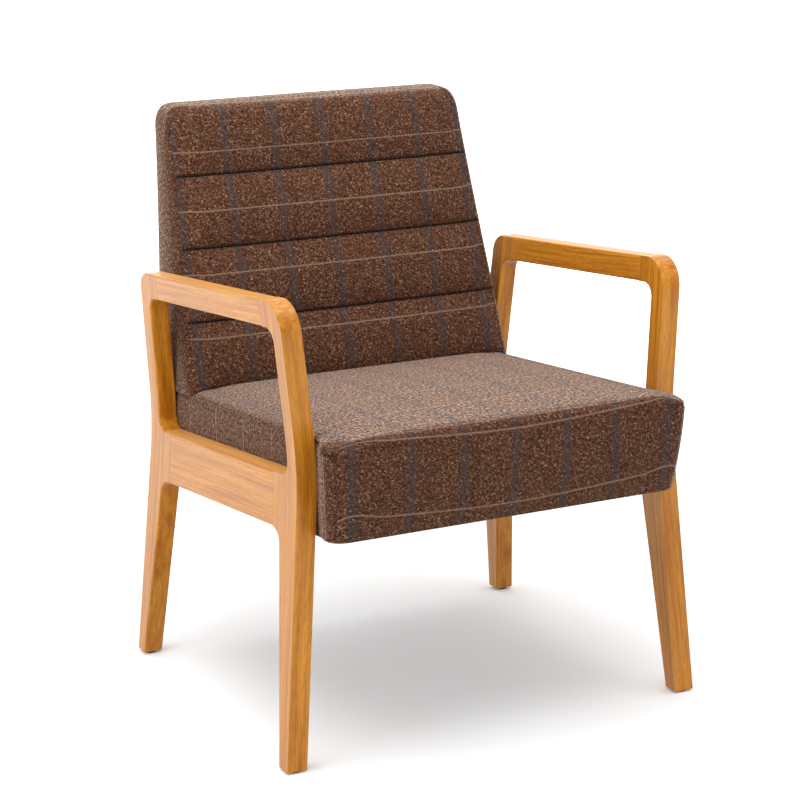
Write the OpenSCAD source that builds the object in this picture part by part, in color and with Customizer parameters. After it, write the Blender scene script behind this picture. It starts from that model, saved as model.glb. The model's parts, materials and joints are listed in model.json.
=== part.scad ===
// Lounge chair: two bent oak side frames carry an upholstered seat and back.
// X runs across the chair, Y from front to back and Z up, all in millimetres.
// The origin is on the floor under the middle of the chair's bounding box.

/* [Side frame outline] */
// Height of the arm's front end above the floor
arm_h = 629; // [600:1:660]
// Height of the side rail's top edge at the front of the front leg
rail_h = 397; // [380:1:410]
// Depth over the feet, from the front edge of one to the back edge of the other
foot_depth = 527; // [505:1:550]
// Fall of the arm and the side rail toward the back, in degrees
rail_tilt = 5.8; // [4.5:0.1:7]
// Backward lean of the front leg's front edge, in degrees
front_lean = 3.7; // [2.5:0.1:5]
// Forward lean of the rear leg's back edge below the rail, in degrees
rear_lean = 1.6; // [0.5:0.1:3]
// Forward lean of the rear leg's back edge above the rail, in degrees
rear_post_lean = 2.8; // [1.6:0.1:4]

/* [Side frame timber] */
// Width over both side frames at the waist, where they are closest
frame_w = 584; // [540:1:640]
// Thickness of the timber, across the chair
stock_t = 29; // [26:1:34]
// Outward lean of the arms above the waist, in degrees
arm_flare = 4.8; // [3.5:0.1:6]
// Outward lean of the legs below the waist, in degrees
leg_splay = 4.6; // [3.5:0.1:6]
// Radius of the bend at the waist, in the middle of the timber
waist_r = 640; // [450:10:800]
// Height of the waist above the side rail's top edge
waist_rise = 7; // [2:1:14]
// Width of a foot, front to back
foot_w = 25; // [22:1:32]
// Width of the front leg just under the rail
front_knee_w = 50; // [42:1:58]
// Width of the rear leg just under the rail
rear_knee_w = 52; // [44:1:60]
// Width of the front post that carries the arm
front_post_w = 26; // [22:1:32]
// Width of the rear post that carries the arm
rear_post_w = 31; // [26:1:38]
// Height of the arm's section
arm_rail_w = 36; // [30:1:42]
// Height of the side rail's section
side_rail_w = 74; // [66:1:82]

/* [Side frame corners and joints] */
// Radius of the shoulder at the front end of the arm
front_shoulder_r = 42; // [30:1:55]
// Radius of the shoulder at the rear end of the arm
rear_shoulder_r = 26; // [16:1:36]
// Radius of the corners of the opening under the arm
window_r = 20; // [12:1:28]
// Radius of the corners under the side rail
knee_r = 22; // [12:1:30]
// Distance of the glued arm joints from the ends of the arm
arm_joint_in = 60; // [56:1:70]
// Distance of the glued rail joints from the outer edges of the legs
rail_joint_in = 72; // [66:1:84]
// Diameter of the dowels in the side frames
dowel_d = 10; // [8:1:12]
// Length of the dowels in the side frames
dowel_len = 50; // [36:2:56]
// Room for glue around a dowel
glue_gap = 0.1; // [0.05:0.05:0.3]

/* [Foot glides] */
// Diameter of a glide
glide_d = 19; // [14:1:21]
// Thickness of a glide
glide_t = 3; // [2:0.5:5]
// Diameter of a glide's pin
glide_pin_d = 5; // [3:0.5:6]
// Length of a glide's pin
glide_pin_len = 14; // [10:1:20]

/* [Seat] */
// Room between the seat's side and the side frame at the waist
side_gap = 2; // [1.5:0.5:4]
// Reach of the seat's lower front edge ahead of the front feet
seat_nose = 30; // [24:1:36]
// Depth of the seat unit along the floor
seat_depth = 570; // [553:1:598]
// Fall of the seat toward the back, in degrees
seat_tilt = 5.2; // [4:0.1:6.5]
// Depth of the seat's underside below the side rail's top edge, at mid rail
seat_drop = 81; // [78:1:86]
// Height of the seat's side panel, up to the seam
seat_side_h = 128; // [122:1:138]
// Height of the padded roll above the seam
seat_roll = 11; // [9:1:14]
// Reach of that roll inward from the seat's sides
seat_side_roll = 28; // [20:1:34]
// Rise of the seat's middle above the roll
seat_crown = 8; // [5:1:12]
// Forward swell of the seat's front panel from bottom to seam
nose_swell = 26; // [20:1:30]
// Sideways swell of the front corners ahead of the legs
cheek_swell = 14; // [9:1:16]
// Radius of the seat's front corners, seen from above
seat_corner_r = 24; // [16:1:30]
// Thickness of the padded cover
cover_t = 4; // [3:0.5:5]
// Free depth of the seat in front of the back
sit_depth = 474; // [455:1:486]

/* [Back] */
// Height of the chair
chair_h = 807; // [783:1:838]
// Lean of the back's front, in degrees
back_lean = 18; // [15:0.5:20]
// Lean of the back's rear, in degrees
back_rear_lean = 8.6; // [7.6:0.1:10]
// Width of the back at its top
back_top_w = 479; // [450:1:492]
// Height of the top channel
top_channel_h = 98; // [88:1:110]
// Height of each of the two channels below it, the lowest takes what is left
channel_h = 100.5; // [92:0.5:108]
// Depth of the sewn channels
channel_puff = 10; // [6:1:14]
// Radius of the back's padded top edge
back_roll = 14; // [10:1:18]
// Reach of the back's rounded top corners inward from its sides
back_shoulder_in = 24; // [16:1:30]
// Height of the back's rounded top corners
back_shoulder_h = 30; // [18:1:36]
// Radius of the back's upright front edges
back_edge_r = 10; // [6:1:14]
// Reach of the back's foot past the seat's side, toward the side frame
back_foot_reach = 3.5; // [1:0.5:4]
// Thickness of the back's padding in front of the foam, at the seams
back_pad = 8; // [6:1:12]

/* [Seat frame] */
// Thickness of the hardwood rails
rail_t = 22; // [18:1:25]
// Height of the seat rails
seat_rail_h = 68; // [60:1:72]
// Thickness of the foam in front of the front rail
front_pad = 14; // [13:1:20]
// Room beside the seat's side rails, inside the cover
side_pad = 1.5; // [1:0.5:3]
// Leg length of the front corner blocks; the rear ones end beside the back's bolts
block_leg = 62; // [50:1:75]
// Width of the webbing
web_w = 50; // [40:5:60]
// Thickness of the webbing
web_t = 1.5; // [1:0.5:2.5]
// Width of the cover's hem under the seat
hem_w = 26; // [24:1:32]

/* [Back frame] */
// Distance between the middles of the two stiles
stile_pitch = 350; // [320:2:370]
// Width of a stile
stile_w = 44; // [38:1:50]
// Height of the back's rails
back_rail_h = 50; // [40:1:60]

/* [Fasteners] */
// Diameter of the bolts
bolt_d = 8; // [6:1:8]
// Diameter of a bolt head
bolt_head_d = 13; // [12:0.5:15]
// Height of a bolt head
bolt_head_h = 8; // [6:0.5:9]
// Diameter of a washer
washer_d = 20; // [17:1:24]
// Thickness of a washer
washer_t = 2; // [1.5:0.5:2.5]
// Outer diameter of the threaded inserts in the side rails
insert_d = 12; // [11:1:14]
// Length of the threaded inserts
insert_len = 18; // [14:1:20]
// Room around a bolt in a drilled rail
bolt_gap = 0.4; // [0.2:0.1:0.8]
// Room between pieces that only lie against each other
rest_gap = 0.5; // [0.3:0.1:1]

/* [Hidden] */
$fn = 40;

// Colours, as the photograph shows them
oak = [0.80, 0.58, 0.34];
oak_rail = [0.83, 0.63, 0.40];
beech = [0.78, 0.64, 0.47];
tweed = [0.42, 0.31, 0.26];
foam_colour = [0.90, 0.86, 0.72];
web_colour = [0.20, 0.20, 0.21];
black = [0.06, 0.06, 0.06];
steel = [0.62, 0.63, 0.65];
brass = [0.72, 0.60, 0.32];

// Lines of the side view, each a point [y, z] and a direction, with y from the
// front edge of the front foot
along_rail = [cos(rail_tilt), -sin(rail_tilt)];
square_to_rail = [sin(rail_tilt), cos(rail_tilt)];
up_front = [tan(front_lean), 1];
up_rear = [-tan(rear_lean), 1];
up_rear_post = [-tan(rear_post_lean), 1];
level = [1, 0];
floor_line = [0, glide_t];
rail_top = rail_h * up_front;
rail_bottom = rail_top - side_rail_w * square_to_rail;
arm_top = arm_h * up_front;
arm_bottom = arm_top - arm_rail_w * square_to_rail;
rear_foot = [foot_depth, 0];

function meet(p, u, q, v) = p + u * (cross(q - p, v) / cross(u, v));
function unit(v) = v / norm(v);
function clamp(v, low, high) = min(max(v, low), high);
function ease(v) = let (c = clamp(v, 0, 1)) c * c * (3 - 2 * c);

// Corners of the side frame, seen from the side
knee_front = meet([front_knee_w, 0], up_front, rail_bottom, along_rail);
knee_rear = meet(rear_foot - [rear_knee_w, 0], up_rear, rail_bottom, along_rail);
waist_rear = meet(rear_foot, up_rear, rail_top, along_rail);
shoulder_rear = meet(waist_rear, up_rear_post, arm_top, along_rail);
shoulder_front = arm_top;
window_corners = [
  meet([front_post_w, 0], up_front, rail_top, along_rail),
  meet(waist_rear - [rear_post_w, 0], up_rear_post, rail_top, along_rail),
  meet(waist_rear - [rear_post_w, 0], up_rear_post, arm_bottom, along_rail),
  meet([front_post_w, 0], up_front, arm_bottom, along_rail)];
outline_corners = [
  meet([0, 0], up_front, floor_line, level),
  meet([foot_w, 0], knee_front - [foot_w, 0], floor_line, level),
  knee_front,
  knee_rear,
  meet(rear_foot - [foot_w, 0], knee_rear - rear_foot + [foot_w, 0], floor_line, level),
  meet(rear_foot, up_rear, floor_line, level),
  waist_rear,
  shoulder_rear,
  shoulder_front];
outline_radii = [0, 0, knee_r, knee_r, 0, 0, 0, rear_shoulder_r, front_shoulder_r];
corner_steps = 7;

// Points of a corner rounded with radius r, between its neighbours a and c
function rounded_corner(a, b, c, r) = r == 0 ? [b] :
  let (u = unit(a - b),
       v = unit(c - b),
       half = acos(u * v) / 2,
       centre = b + unit(u + v) * r / sin(half),
       from = b + u * r / tan(half) - centre,
       to = b + v * r / tan(half) - centre,
       start = atan2(from.y, from.x),
       turn = atan2(cross(from, to), from * to))
  [for (i = [0:corner_steps])
    let (a = start + turn * i / corner_steps) centre + r * [cos(a), sin(a)]];
function rounded_loop(corners, radii) =
  let (n = len(corners))
  [for (i = [0:n - 1])
    each rounded_corner(corners[(i + n - 1) % n], corners[i], corners[(i + 1) % n], radii[i])];

// The bend of a side frame, seen along the rail: x against t, the height above
// the waist square to the rail
waist_line = rail_top + waist_rise * square_to_rail;
bend_x = frame_w / 2 - stock_t / 2 + waist_r;
bend_steps = 8;
far = 900;
function height_over_waist(p) = (p - waist_line) * square_to_rail;
function bend_point(r, a) = [bend_x - r * cos(a), r * sin(a)];
function lean_out(r, a, length) =
  bend_point(r, a) + length * [sin(abs(a)), a > 0 ? cos(a) : -cos(a)];
function bend_angle(i) = -leg_splay + (arm_flare + leg_splay) * i / bend_steps;
// X of a surface of the frame, in the middle or half a thickness from it
function frame_x(r, t) =
  t > r * sin(arm_flare) ? bend_point(r, arm_flare).x + (t - r * sin(arm_flare)) * tan(arm_flare) :
  t < -r * sin(leg_splay) ? bend_point(r, leg_splay).x - (t + r * sin(leg_splay)) * tan(leg_splay) :
  bend_x - sqrt(r * r - t * t);
inner_r = waist_r + stock_t / 2;
outer_r = waist_r - stock_t / 2;

// Glued joints of the side frame, as points on the joint lines
arm_joints = [shoulder_front + arm_joint_in * along_rail, shoulder_rear - arm_joint_in * along_rail];
rail_joints = [rail_top + rail_joint_in * along_rail, waist_rear - rail_joint_in * along_rail];
window_middle = (window_corners[0] + window_corners[2]) / 2;

// The seat's own frame: x across, y along the seat to the rear, z square to it
seat_half = frame_w / 2 - stock_t - side_gap;
seat_len = seat_depth / cos(seat_tilt);
mid_rail = (rail_top + waist_rear) / 2;
seat_front = [-seat_nose, mid_rail.y - seat_drop + (mid_rail.x + seat_nose) * tan(seat_tilt)];
function seat_world(p) =
  [p.x, seat_front.x + p.y * cos(seat_tilt) + p.z * sin(seat_tilt),
   seat_front.y - p.y * sin(seat_tilt) + p.z * cos(seat_tilt)];
module seat_place() {
  translate([0, seat_front.x, seat_front.y]) rotate([-seat_tilt, 0, 0]) children();
}

// Small shares of the seat's padded shape
seat_rear_corner_r = 10;
seat_bottom_r = 3;
hem_t = 2;
seam_draw = 1.2;
side_swell = 0.8;
front_swell = 3;
cheek_from = 28;
cheek_to = 56;
cheek_share = 1 / 3;
corner_sink = 8;
sink_across = 46;
sink_along = 52;
nose_reach = 90;
arc_steps = 5;

// Plan of the seat, drawn in by the given amounts, the same number of points always
function plan_arc(corner, turn, r, inset, steps = arc_steps) =
  let (radius = max(r - inset, 1),
       back = turn < 0 || turn == 180 ? 1 : -1,
       centre = corner + (inset + radius) * [-sign(corner.x), back])
  [for (i = [0:steps]) let (a = turn + 90 * i / steps) centre + radius * [cos(a), sin(a)]];
function seat_plan(inset, more_at_sides = 0) =
  let (half = seat_half - more_at_sides,
       side = half - inset,
       front_r = seat_corner_r,
       rear_r = seat_rear_corner_r,
       stops = [cheek_from + 4, cheek_to - 4, seat_len * 0.35, seat_len * 0.7])
  concat(
    [for (f = [-0.8, -0.27, 0.27, 0.8]) [f * (half - front_r), inset]],
    plan_arc([half, 0], -90, front_r, inset),
    [for (y = stops) [side, y]],
    plan_arc([half, seat_len], 0, rear_r, inset),
    [for (f = [0.4, -0.4]) [f * half, seat_len - inset]],
    plan_arc([-half, seat_len], 90, rear_r, inset),
    [for (i = [3:-1:0]) [-side, stops[i]]],
    plan_arc([-half, 0], 180, front_r, inset));

// Swell of the front panel and of the corners ahead of the front legs, which also sink
function swell(p) =
  let (rise = clamp(p.z / seat_side_h, 0, 1),
       ahead = 1 - ease(p.y / nose_reach),
       cheek = 1 - ease((p.y - cheek_from) / (cheek_to - cheek_from)),
       outer = ease(4 * abs(p.x) / seat_half - 3),
       corner = ease((abs(p.x) - seat_half) / sink_across + 1) * (1 - ease(p.y / sink_along)))
  [p.x + sign(p.x) * cheek_swell * cheek * outer * (cheek_share + (1 - cheek_share) * rise),
   p.y - (nose_swell * rise + front_swell * sin(180 * rise)) * ahead,
   p.z - corner_sink * corner * rise];

// Rise of the seat's top at share s of its plan, which dies out under the back
function crown_at(s, y) =
  seat_crown * (1 - pow(s, 2.5)) * (1 - ease((y - 0.55 * sit_depth) / (0.42 * sit_depth)));

// Rings of the seat's form from its underside to the middle of its top
function seat_ring(inset, z, s = 1, more_at_sides = 0) = [for (p = seat_plan(inset, more_at_sides))
  let (y = seat_len / 2 + (p.y - seat_len / 2) * s)
  swell([p.x * s, y, z + crown_at(s, y)])];
side_reach = seat_side_roll - seat_roll;
function seat_rings(inset, floor_z, floor_r) =
  let (r = seat_roll - inset)
  concat(
    [seat_ring(inset + floor_r, floor_z)],
    [seat_ring(inset, floor_z + floor_r + 0.1)],
    [for (share = [0.3, 0.6, 0.88]) seat_ring(inset - side_swell, seat_side_h * share)],
    [seat_ring(inset + seam_draw, seat_side_h)],
    [for (a = [25, 50, 75])
      seat_ring(inset + r * (1 - cos(a)), seat_side_h + r * sin(a), 1, side_reach * (1 - cos(a)))],
    [for (s = [1, 0.9, 0.7, 0.45, 0.2]) seat_ring(inset + r, seat_side_h + r, s, side_reach)]);

// A closed form through rings with equal numbers of points, closed by fans
function total(list, i = 0) = i == len(list) - 1 ? list[i] : list[i] + total(list, i + 1);
function ring_middle(ring) = total(ring) / len(ring);
module lofted(rings) {
  n = len(rings[0]);
  m = len(rings);
  walls = [for (j = [0:m - 2], i = [0:n - 1])
    let (a = j * n + i, b = j * n + (i + 1) % n, c = b + n, d = a + n) each [[a, d, c], [a, c, b]]];
  floor_fan = [for (i = [0:n - 1]) [i, (i + 1) % n, m * n]];
  top_fan = [for (i = [0:n - 1]) [(m - 1) * n + (i + 1) % n, (m - 1) * n + i, m * n + 1]];
  polyhedron([for (r = rings) each r, ring_middle(rings[0]), ring_middle(rings[m - 1])],
    concat(walls, floor_fan, top_fan));
}

// The back, in the side view: its front and rear lines and its seams
seat_edge = seat_world([0, -nose_swell, seat_side_h]);
seat_top_z = seat_side_h + seat_roll;
seat_rear_top = seat_world([0, seat_len, seat_side_h]);
along_seat = [cos(seat_tilt), -sin(seat_tilt)];
back_foot = meet([seat_edge.y + sit_depth, 0], [0, 1],
  [seat_world([0, 0, seat_top_z]).y, seat_world([0, 0, seat_top_z]).z], along_seat);
back_hinge = [seat_rear_top.y, seat_rear_top.z];
up_back = [tan(back_lean), 1];
up_back_rear = [tan(back_rear_lean), 1];
behind = [cos(back_rear_lean), -sin(back_rear_lean)];
back_rests = 0.8;
back_corner_r = 16;
back_crown = 4;
puff_fade = 26;
top_pad = 10;
side_cover = 10;
function back_front_y(z) = (back_foot + (z - back_foot.y) * up_back).x;
function back_rear_y(z) = (back_hinge + (z - back_hinge.y) * up_back_rear).x;
back_taper = 1.3;
function back_half(z) =
  let (share = (chair_h - z) / (chair_h - back_foot.y))
  back_top_w / 2 + (seat_half + back_foot_reach - back_top_w / 2) * pow(max(share, 0), back_taper);
seams = [for (i = [2:-1:0]) chair_h - top_channel_h - i * channel_h];
back_rows = concat([back_foot.y], seams, [chair_h - back_roll]);

// Height of the seat's top where the back stands on it
function seat_under(x, y) =
  let (along = (y - seat_front.x - seat_top_z * sin(seat_tilt)) / cos(seat_tilt),
       side_in = clamp((seat_half - abs(x)) / seat_side_roll, 0.04, 1),
       rear_in = clamp((seat_len - along) / seat_roll, 0.04, 1),
       share = min(side_in, rear_in),
       rise = seat_roll * sqrt(1 - (1 - share) * (1 - share)))
  seat_world([x, along, seat_side_h + rise]).z + back_rests;

// How far the rounded top corners draw in at one height
function shoulder(z) =
  let (up = clamp((z - chair_h) / back_shoulder_h + 1, 0, 1))
  back_shoulder_in * (1 - sqrt(1 - up * up));

// Plan of the back at one height, with its front and rear drawn in and its channels
// swelling forward
function back_plan(z, inset, puff) =
  let (half = back_half(z) + inset - shoulder(z),
       front = back_front_y(z),
       rear = back_rear_y(z),
       flat = half - back_edge_r)
  concat(
    [for (f = [-0.97, -0.8, -0.45, 0, 0.45, 0.8, 0.97])
      [f * flat, front + inset - back_crown * (1 - f * f)
        - puff * (1 - ease((abs(f) * flat - flat + puff_fade) / puff_fade))]],
    plan_arc([half, front], -90, back_edge_r, inset, 3),
    [[half - inset, (front + rear) / 2]],
    plan_arc([half, rear], 0, back_corner_r, inset, 2),
    [for (f = [0.4, -0.4]) [f * half, rear - inset]],
    plan_arc([-half, rear], 90, back_corner_r, inset, 2),
    [[-half + inset, (front + rear) / 2]],
    plan_arc([-half, front], 180, back_edge_r, inset, 3));
function puff_at(share) = channel_puff * pow(1 - pow(abs(2 * share - 1), 3), 0.6);

// Rings of the back's form; the lowest follow the seat's top
function back_ring(z, inset, puff) =
  let (hold = clamp((seams[0] - z) / (seams[0] - back_foot.y), 0, 1))
  [for (p = back_plan(z, inset, puff))
    [p.x, p.y, z + (seat_under(p.x, p.y) - back_foot.y) * hold]];
function back_rings() = concat(
  [for (k = [0:2], share = [0, 0.12, 0.32, 0.68, 0.88])
    back_ring(back_rows[k] + share * (back_rows[k + 1] - back_rows[k]), 0, puff_at(share))],
  [for (share = [0, 0.12, 0.32, 0.66, 0.86, 1])
    back_ring(back_rows[3] + share * (back_rows[4] - back_rows[3]), 0, puff_at(share * 0.55))],
  [for (a = [30, 60, 90])
    back_ring(chair_h - back_roll * (1 - sin(a)), back_roll * (1 - cos(a)), channel_puff * cos(a))]);

// Middle of the whole chair, from the seat's nose to the back's top
nose_y = min([for (r = seat_rings(0, 0, seat_bottom_r), p = r) seat_world(p).y]);
tail_y = max([for (r = back_rings(), p = r) p.y]);
middle_y = (nose_y + tail_y) / 2;
module centred() {
  translate([0, -middle_y, 0]) children();
}

// Shared shapes
module across(thickness) {
  rotate([90, 0, 90]) linear_extrude(thickness, center = true) children();
}
module cross_pin(d, length) {
  rotate([0, 90, 0]) cylinder(d = d, h = length, center = true);
}
module sided(left) {
  mirror([left ? 1 : 0, 0, 0]) children();
}

// The timber of one side frame: the side view cut from the bent front view
module frame_outline() {
  difference() {
    polygon(rounded_loop(outline_corners, outline_radii));
    polygon(rounded_loop(window_corners, [window_r, window_r, window_r, window_r]));
  }
}
module bent_stock() {
  bend = [for (i = [0:bend_steps]) bend_angle(i)];
  inner = concat([lean_out(inner_r, -leg_splay, far)], [for (a = bend) bend_point(inner_r, a)],
    [lean_out(inner_r, arm_flare, far)]);
  outer = concat([lean_out(outer_r, -leg_splay, far)], [for (a = bend) bend_point(outer_r, a)],
    [lean_out(outer_r, arm_flare, far)]);
  translate([0, waist_line.x, waist_line.y]) rotate([90 - rail_tilt, 0, 0])
    linear_extrude(2 * far, center = true)
      polygon(concat(inner, [for (i = [len(outer) - 1:-1:0]) outer[i]]));
}

// Part of the side view between two joint lines, below or above the opening
function past(p, length) = p + length * square_to_rail;
module leg_zone(arm_joint, rail_joint, ahead) {
  cut = meet(rail_joint, square_to_rail, window_middle, along_rail);
  turn = meet(arm_joint, square_to_rail, window_middle, along_rail);
  away = (ahead ? -far : far) * along_rail;
  polygon([past(rail_joint, -far) + away, past(rail_joint, -far), cut, turn, past(arm_joint, far),
    past(arm_joint, far) + away]);
}
module rail_zone(joints, up) {
  cut = [for (p = joints) meet(p, square_to_rail, window_middle, along_rail)];
  polygon([cut[0], cut[1], past(joints[1], up ? far : -far), past(joints[0], up ? far : -far)]);
}
module timber() {
  intersection() {
    bent_stock();
    across(3 * frame_w) intersection() {
      frame_outline();
      children();
    }
  }
}

// Dowels of the side frame, two in each glued joint
arm_dowel_pitch = arm_rail_w * 0.45;
rail_dowel_pitch = side_rail_w * 0.5;
dowel_points = [
  for (p = arm_joints, k = [-1, 1]) p - (arm_rail_w / 2 + k * arm_dowel_pitch / 2) * square_to_rail,
  for (p = rail_joints, k = [-1, 1]) p - (side_rail_w / 2 + k * rail_dowel_pitch / 2) * square_to_rail];
module frame_pegs(d, length) {
  for (p = dowel_points)
    translate([frame_x(waist_r, height_over_waist(p)), p.x, p.y])
      rotate([-90 - rail_tilt, 0, 0]) cylinder(d = d, h = length, center = true);
}

// Bolts that hold the seat in the side frames, as points [y, z] on the rails
seat_bolt_pitch = 140;
seat_bolt_z = hem_t + seat_rail_h * 0.62;
seat_rail_x = seat_half - cover_t - side_pad;
seat_bolt_y = [for (k = [-1, 0, 1]) seat_len / 2 + k * seat_bolt_pitch];
seat_bolt_points = [for (y = seat_bolt_y) seat_world([0, y, seat_bolt_z])];
insert_sink = 0.5;
function insert_x(p) = frame_x(inner_r, height_over_waist([p.y, p.z])) + insert_sink;
module at_seat_bolts() {
  for (p = seat_bolt_points) translate([0, p.y, p.z]) children();
}

// Feet, as points [y, z] where the glides meet the legs
feet = [(outline_corners[0] + outline_corners[1]) / 2, (outline_corners[4] + outline_corners[5]) / 2];
function foot_x(p) = frame_x(waist_r, height_over_waist(p));
module glide(d, pin_d, pin_len) {
  rim = 0.8;
  rotate_extrude() polygon([[0, 0], [d / 2 - rim, 0], [d / 2, rim], [d / 2, glide_t],
    [pin_d / 2, glide_t], [pin_d / 2, glide_t + pin_len], [0, glide_t + pin_len]]);
}
module at_foot(i) {
  translate([foot_x(feet[i]), feet[i].x, 0]) children();
}
module pin_hole(i) {
  at_foot(i) cylinder(d = glide_pin_d + 2 * glue_gap, h = glide_t + glide_pin_len + 1);
}

module front_leg(left) {
  color(oak) centred() sided(left) difference() {
    timber() leg_zone(arm_joints[0], rail_joints[0], true);
    frame_pegs(dowel_d + 2 * glue_gap, dowel_len + 2);
    pin_hole(0);
  }
}
module rear_leg(left) {
  color(oak) centred() sided(left) difference() {
    timber() leg_zone(arm_joints[1], rail_joints[1], false);
    frame_pegs(dowel_d + 2 * glue_gap, dowel_len + 2);
    pin_hole(1);
  }
}
module arm(left) {
  color(oak_rail) centred() sided(left) difference() {
    timber() rail_zone(arm_joints, true);
    frame_pegs(dowel_d + 2 * glue_gap, dowel_len + 2);
  }
}
module side_rail(left) {
  color(oak_rail) centred() sided(left) difference() {
    timber() rail_zone(rail_joints, false);
    frame_pegs(dowel_d + 2 * glue_gap, dowel_len + 2);
    for (p = seat_bolt_points)
      translate([insert_x(p) + insert_len / 2 - 1, p.y, p.z]) cross_pin(insert_d, insert_len + 4);
  }
}
module frame_dowels(left) {
  color(beech) centred() sided(left) frame_pegs(dowel_d, dowel_len);
}
module foot_glides() {
  color(black) centred() for (left = [false, true], i = [0, 1])
    sided(left) at_foot(i) glide(glide_d, glide_pin_d, glide_pin_len);
}

// The seat's hardwood frame
corner_in_r = seat_corner_r - cover_t;
corner_room = corner_in_r - sqrt(pow(corner_in_r, 2) - pow(corner_in_r - side_pad, 2));
front_rail_y = cover_t + max(front_pad, corner_room + rest_gap);
rear_rail_y = seat_len - cover_t - rest_gap - rail_t - 2;
seat_rail_in = seat_rail_x - rail_t;
seat_rail_top = hem_t + seat_rail_h;
web_top = seat_rail_top + 2 * web_t;
seat_peg_d = 8;
seat_peg_len = 40;
seat_peg_bite = 14;
module seat_pegs(d, length) {
  for (side = [-1, 1], y = [front_rail_y + rail_t / 2, rear_rail_y - rail_t / 2], share = [0.28, 0.72])
    translate([side * (seat_rail_in + seat_peg_bite - seat_peg_len / 2), y, hem_t + seat_rail_h * share])
      cross_pin(d, length);
}
module seat_end_rail(y) {
  difference() {
    translate([-seat_rail_in, y, hem_t]) cube([2 * seat_rail_in, rail_t, seat_rail_h]);
    seat_pegs(seat_peg_d + 2 * glue_gap, seat_peg_len + 2);
    children();
  }
}
module seat_front_rail() {
  color(beech) centred() seat_place() seat_end_rail(front_rail_y);
}
module seat_rear_rail() {
  color(beech) centred() seat_place() seat_end_rail(rear_rail_y - rail_t)
    back_bolt_holes(bolt_d + 2 * bolt_gap);
}
module seat_side_rail(left) {
  color(beech) centred() sided(left) difference() {
    seat_place() difference() {
      translate([seat_rail_in, front_rail_y, hem_t])
        cube([rail_t, rear_rail_y - front_rail_y, seat_rail_h]);
      seat_pegs(seat_peg_d + 2 * glue_gap, seat_peg_len + 2);
    }
    at_seat_bolts() cross_pin(bolt_d + 2 * bolt_gap, 2 * frame_w);
  }
}
block_low = 10;
rear_block_leg = seat_rail_in - stile_pitch / 2 - washer_d / 2 - rest_gap;
module corner_block(leg) {
  linear_extrude(seat_rail_h - 2 * block_low) polygon([[0, 0], [leg, 0], [0, leg]]);
}
module seat_corner_blocks() {
  color(beech) centred() seat_place() for (side = [0, 1]) mirror([side, 0, 0]) {
    translate([-seat_rail_in, front_rail_y + rail_t, hem_t + block_low]) corner_block(block_leg);
    translate([-seat_rail_in, rear_rail_y - rail_t, hem_t + block_low])
      mirror([0, 1, 0]) corner_block(rear_block_leg);
  }
}
module seat_dowels() {
  color(beech) centred() seat_place() seat_pegs(seat_peg_d, seat_peg_len);
}

// Webbing: straps across the seat below, straps along it above
across_count = 6;
along_count = 5;
web_lap = 18;
module seat_webbing_across() {
  clear = rear_rail_y - front_rail_y - 2 * rail_t;
  pitch = clear / across_count;
  color(web_colour) centred() seat_place() for (i = [0:across_count - 1])
    translate([0, front_rail_y + rail_t + pitch * (i + 0.5), seat_rail_top + web_t / 2])
      cube([2 * (seat_rail_in + web_lap), web_w, web_t], center = true);
}
module seat_webbing_along() {
  pitch = 2 * seat_rail_in / along_count;
  lap = rear_rail_y - front_rail_y - 2 * (rail_t - web_lap);
  color(web_colour) centred() seat_place() for (i = [0:along_count - 1])
    translate([pitch * (i - (along_count - 1) / 2), (front_rail_y + rear_rail_y) / 2,
      seat_rail_top + 1.5 * web_t])
      cube([web_w, lap, web_t], center = true);
}

// The seat's foam wraps over the front rail; the cover wraps under the frame
module seat_foam() {
  color(foam_colour) centred() difference() {
    seat_place() difference() {
      lofted(seat_rings(cover_t + rest_gap, hem_t + rest_gap, 0));
      translate([-frame_w, front_rail_y - rest_gap, -far])
        cube([2 * frame_w, seat_len, far + web_top + rest_gap]);
      translate([-frame_w, rear_rail_y - rest_gap, -far]) cube([2 * frame_w, seat_len, 2 * far]);
    }
    stile_slots();
  }
}
module seat_cover() {
  color(tweed) centred() difference() {
    seat_place() difference() {
      lofted(seat_rings(0, 0, seat_bottom_r));
      lofted(seat_rings(cover_t, hem_t, 0));
      translate([0, 0, -1]) linear_extrude(hem_t + 2) polygon(seat_plan(cover_t + hem_w));
    }
    stile_slots();
    at_seat_bolts() cross_pin(bolt_d + 2 * rest_gap, 2 * frame_w);
  }
}
dust_t = 1;
dust_in = 7;
module seat_dust_cover() {
  color(black) centred() seat_place() translate([0, 0, -dust_t])
    linear_extrude(dust_t) polygon(seat_plan(dust_in));
}

// The back's hardwood frame stands in the seat, bolted behind its rear rail
stile_front = -cover_t - rest_gap - rail_t;
stile_low = -seat_side_h + hem_t + 6;
stile_top = (chair_h - top_pad - rest_gap - back_hinge.y) / cos(back_rear_lean)
  + stile_front * tan(back_rear_lean);
module back_place() {
  translate([0, back_hinge.x, back_hinge.y]) rotate([-back_rear_lean, 0, 0]) children();
}
module stile_box(room) {
  for (side = [-1, 1])
    translate([side * stile_pitch / 2 - stile_w / 2 - room, stile_front - room, stile_low - room])
      cube([stile_w + 2 * room, rail_t + 2 * room, stile_top - stile_low + 2 * room]);
}
module stile_slots() {
  back_place() stile_box(rest_gap);
}
back_bolt_z = [0.3, 0.72] * seat_rail_h;
stile_seat = 9;
module at_back_bolts() {
  for (side = [-1, 1], z = back_bolt_z)
    translate([side * stile_pitch / 2, rear_rail_y, hem_t + z]) rotate([-90, 0, 0]) children();
}
module back_bolt_holes(d) {
  at_back_bolts() cylinder(d = d, h = 6 * rail_t, center = true);
}
rail_bite = 22;
back_peg_len = 48;
back_rail_z = [28, (stile_top + 28) / 2 - back_rail_h / 2, stile_top - back_rail_h];
stile_in = stile_pitch / 2 - stile_w / 2;
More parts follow.
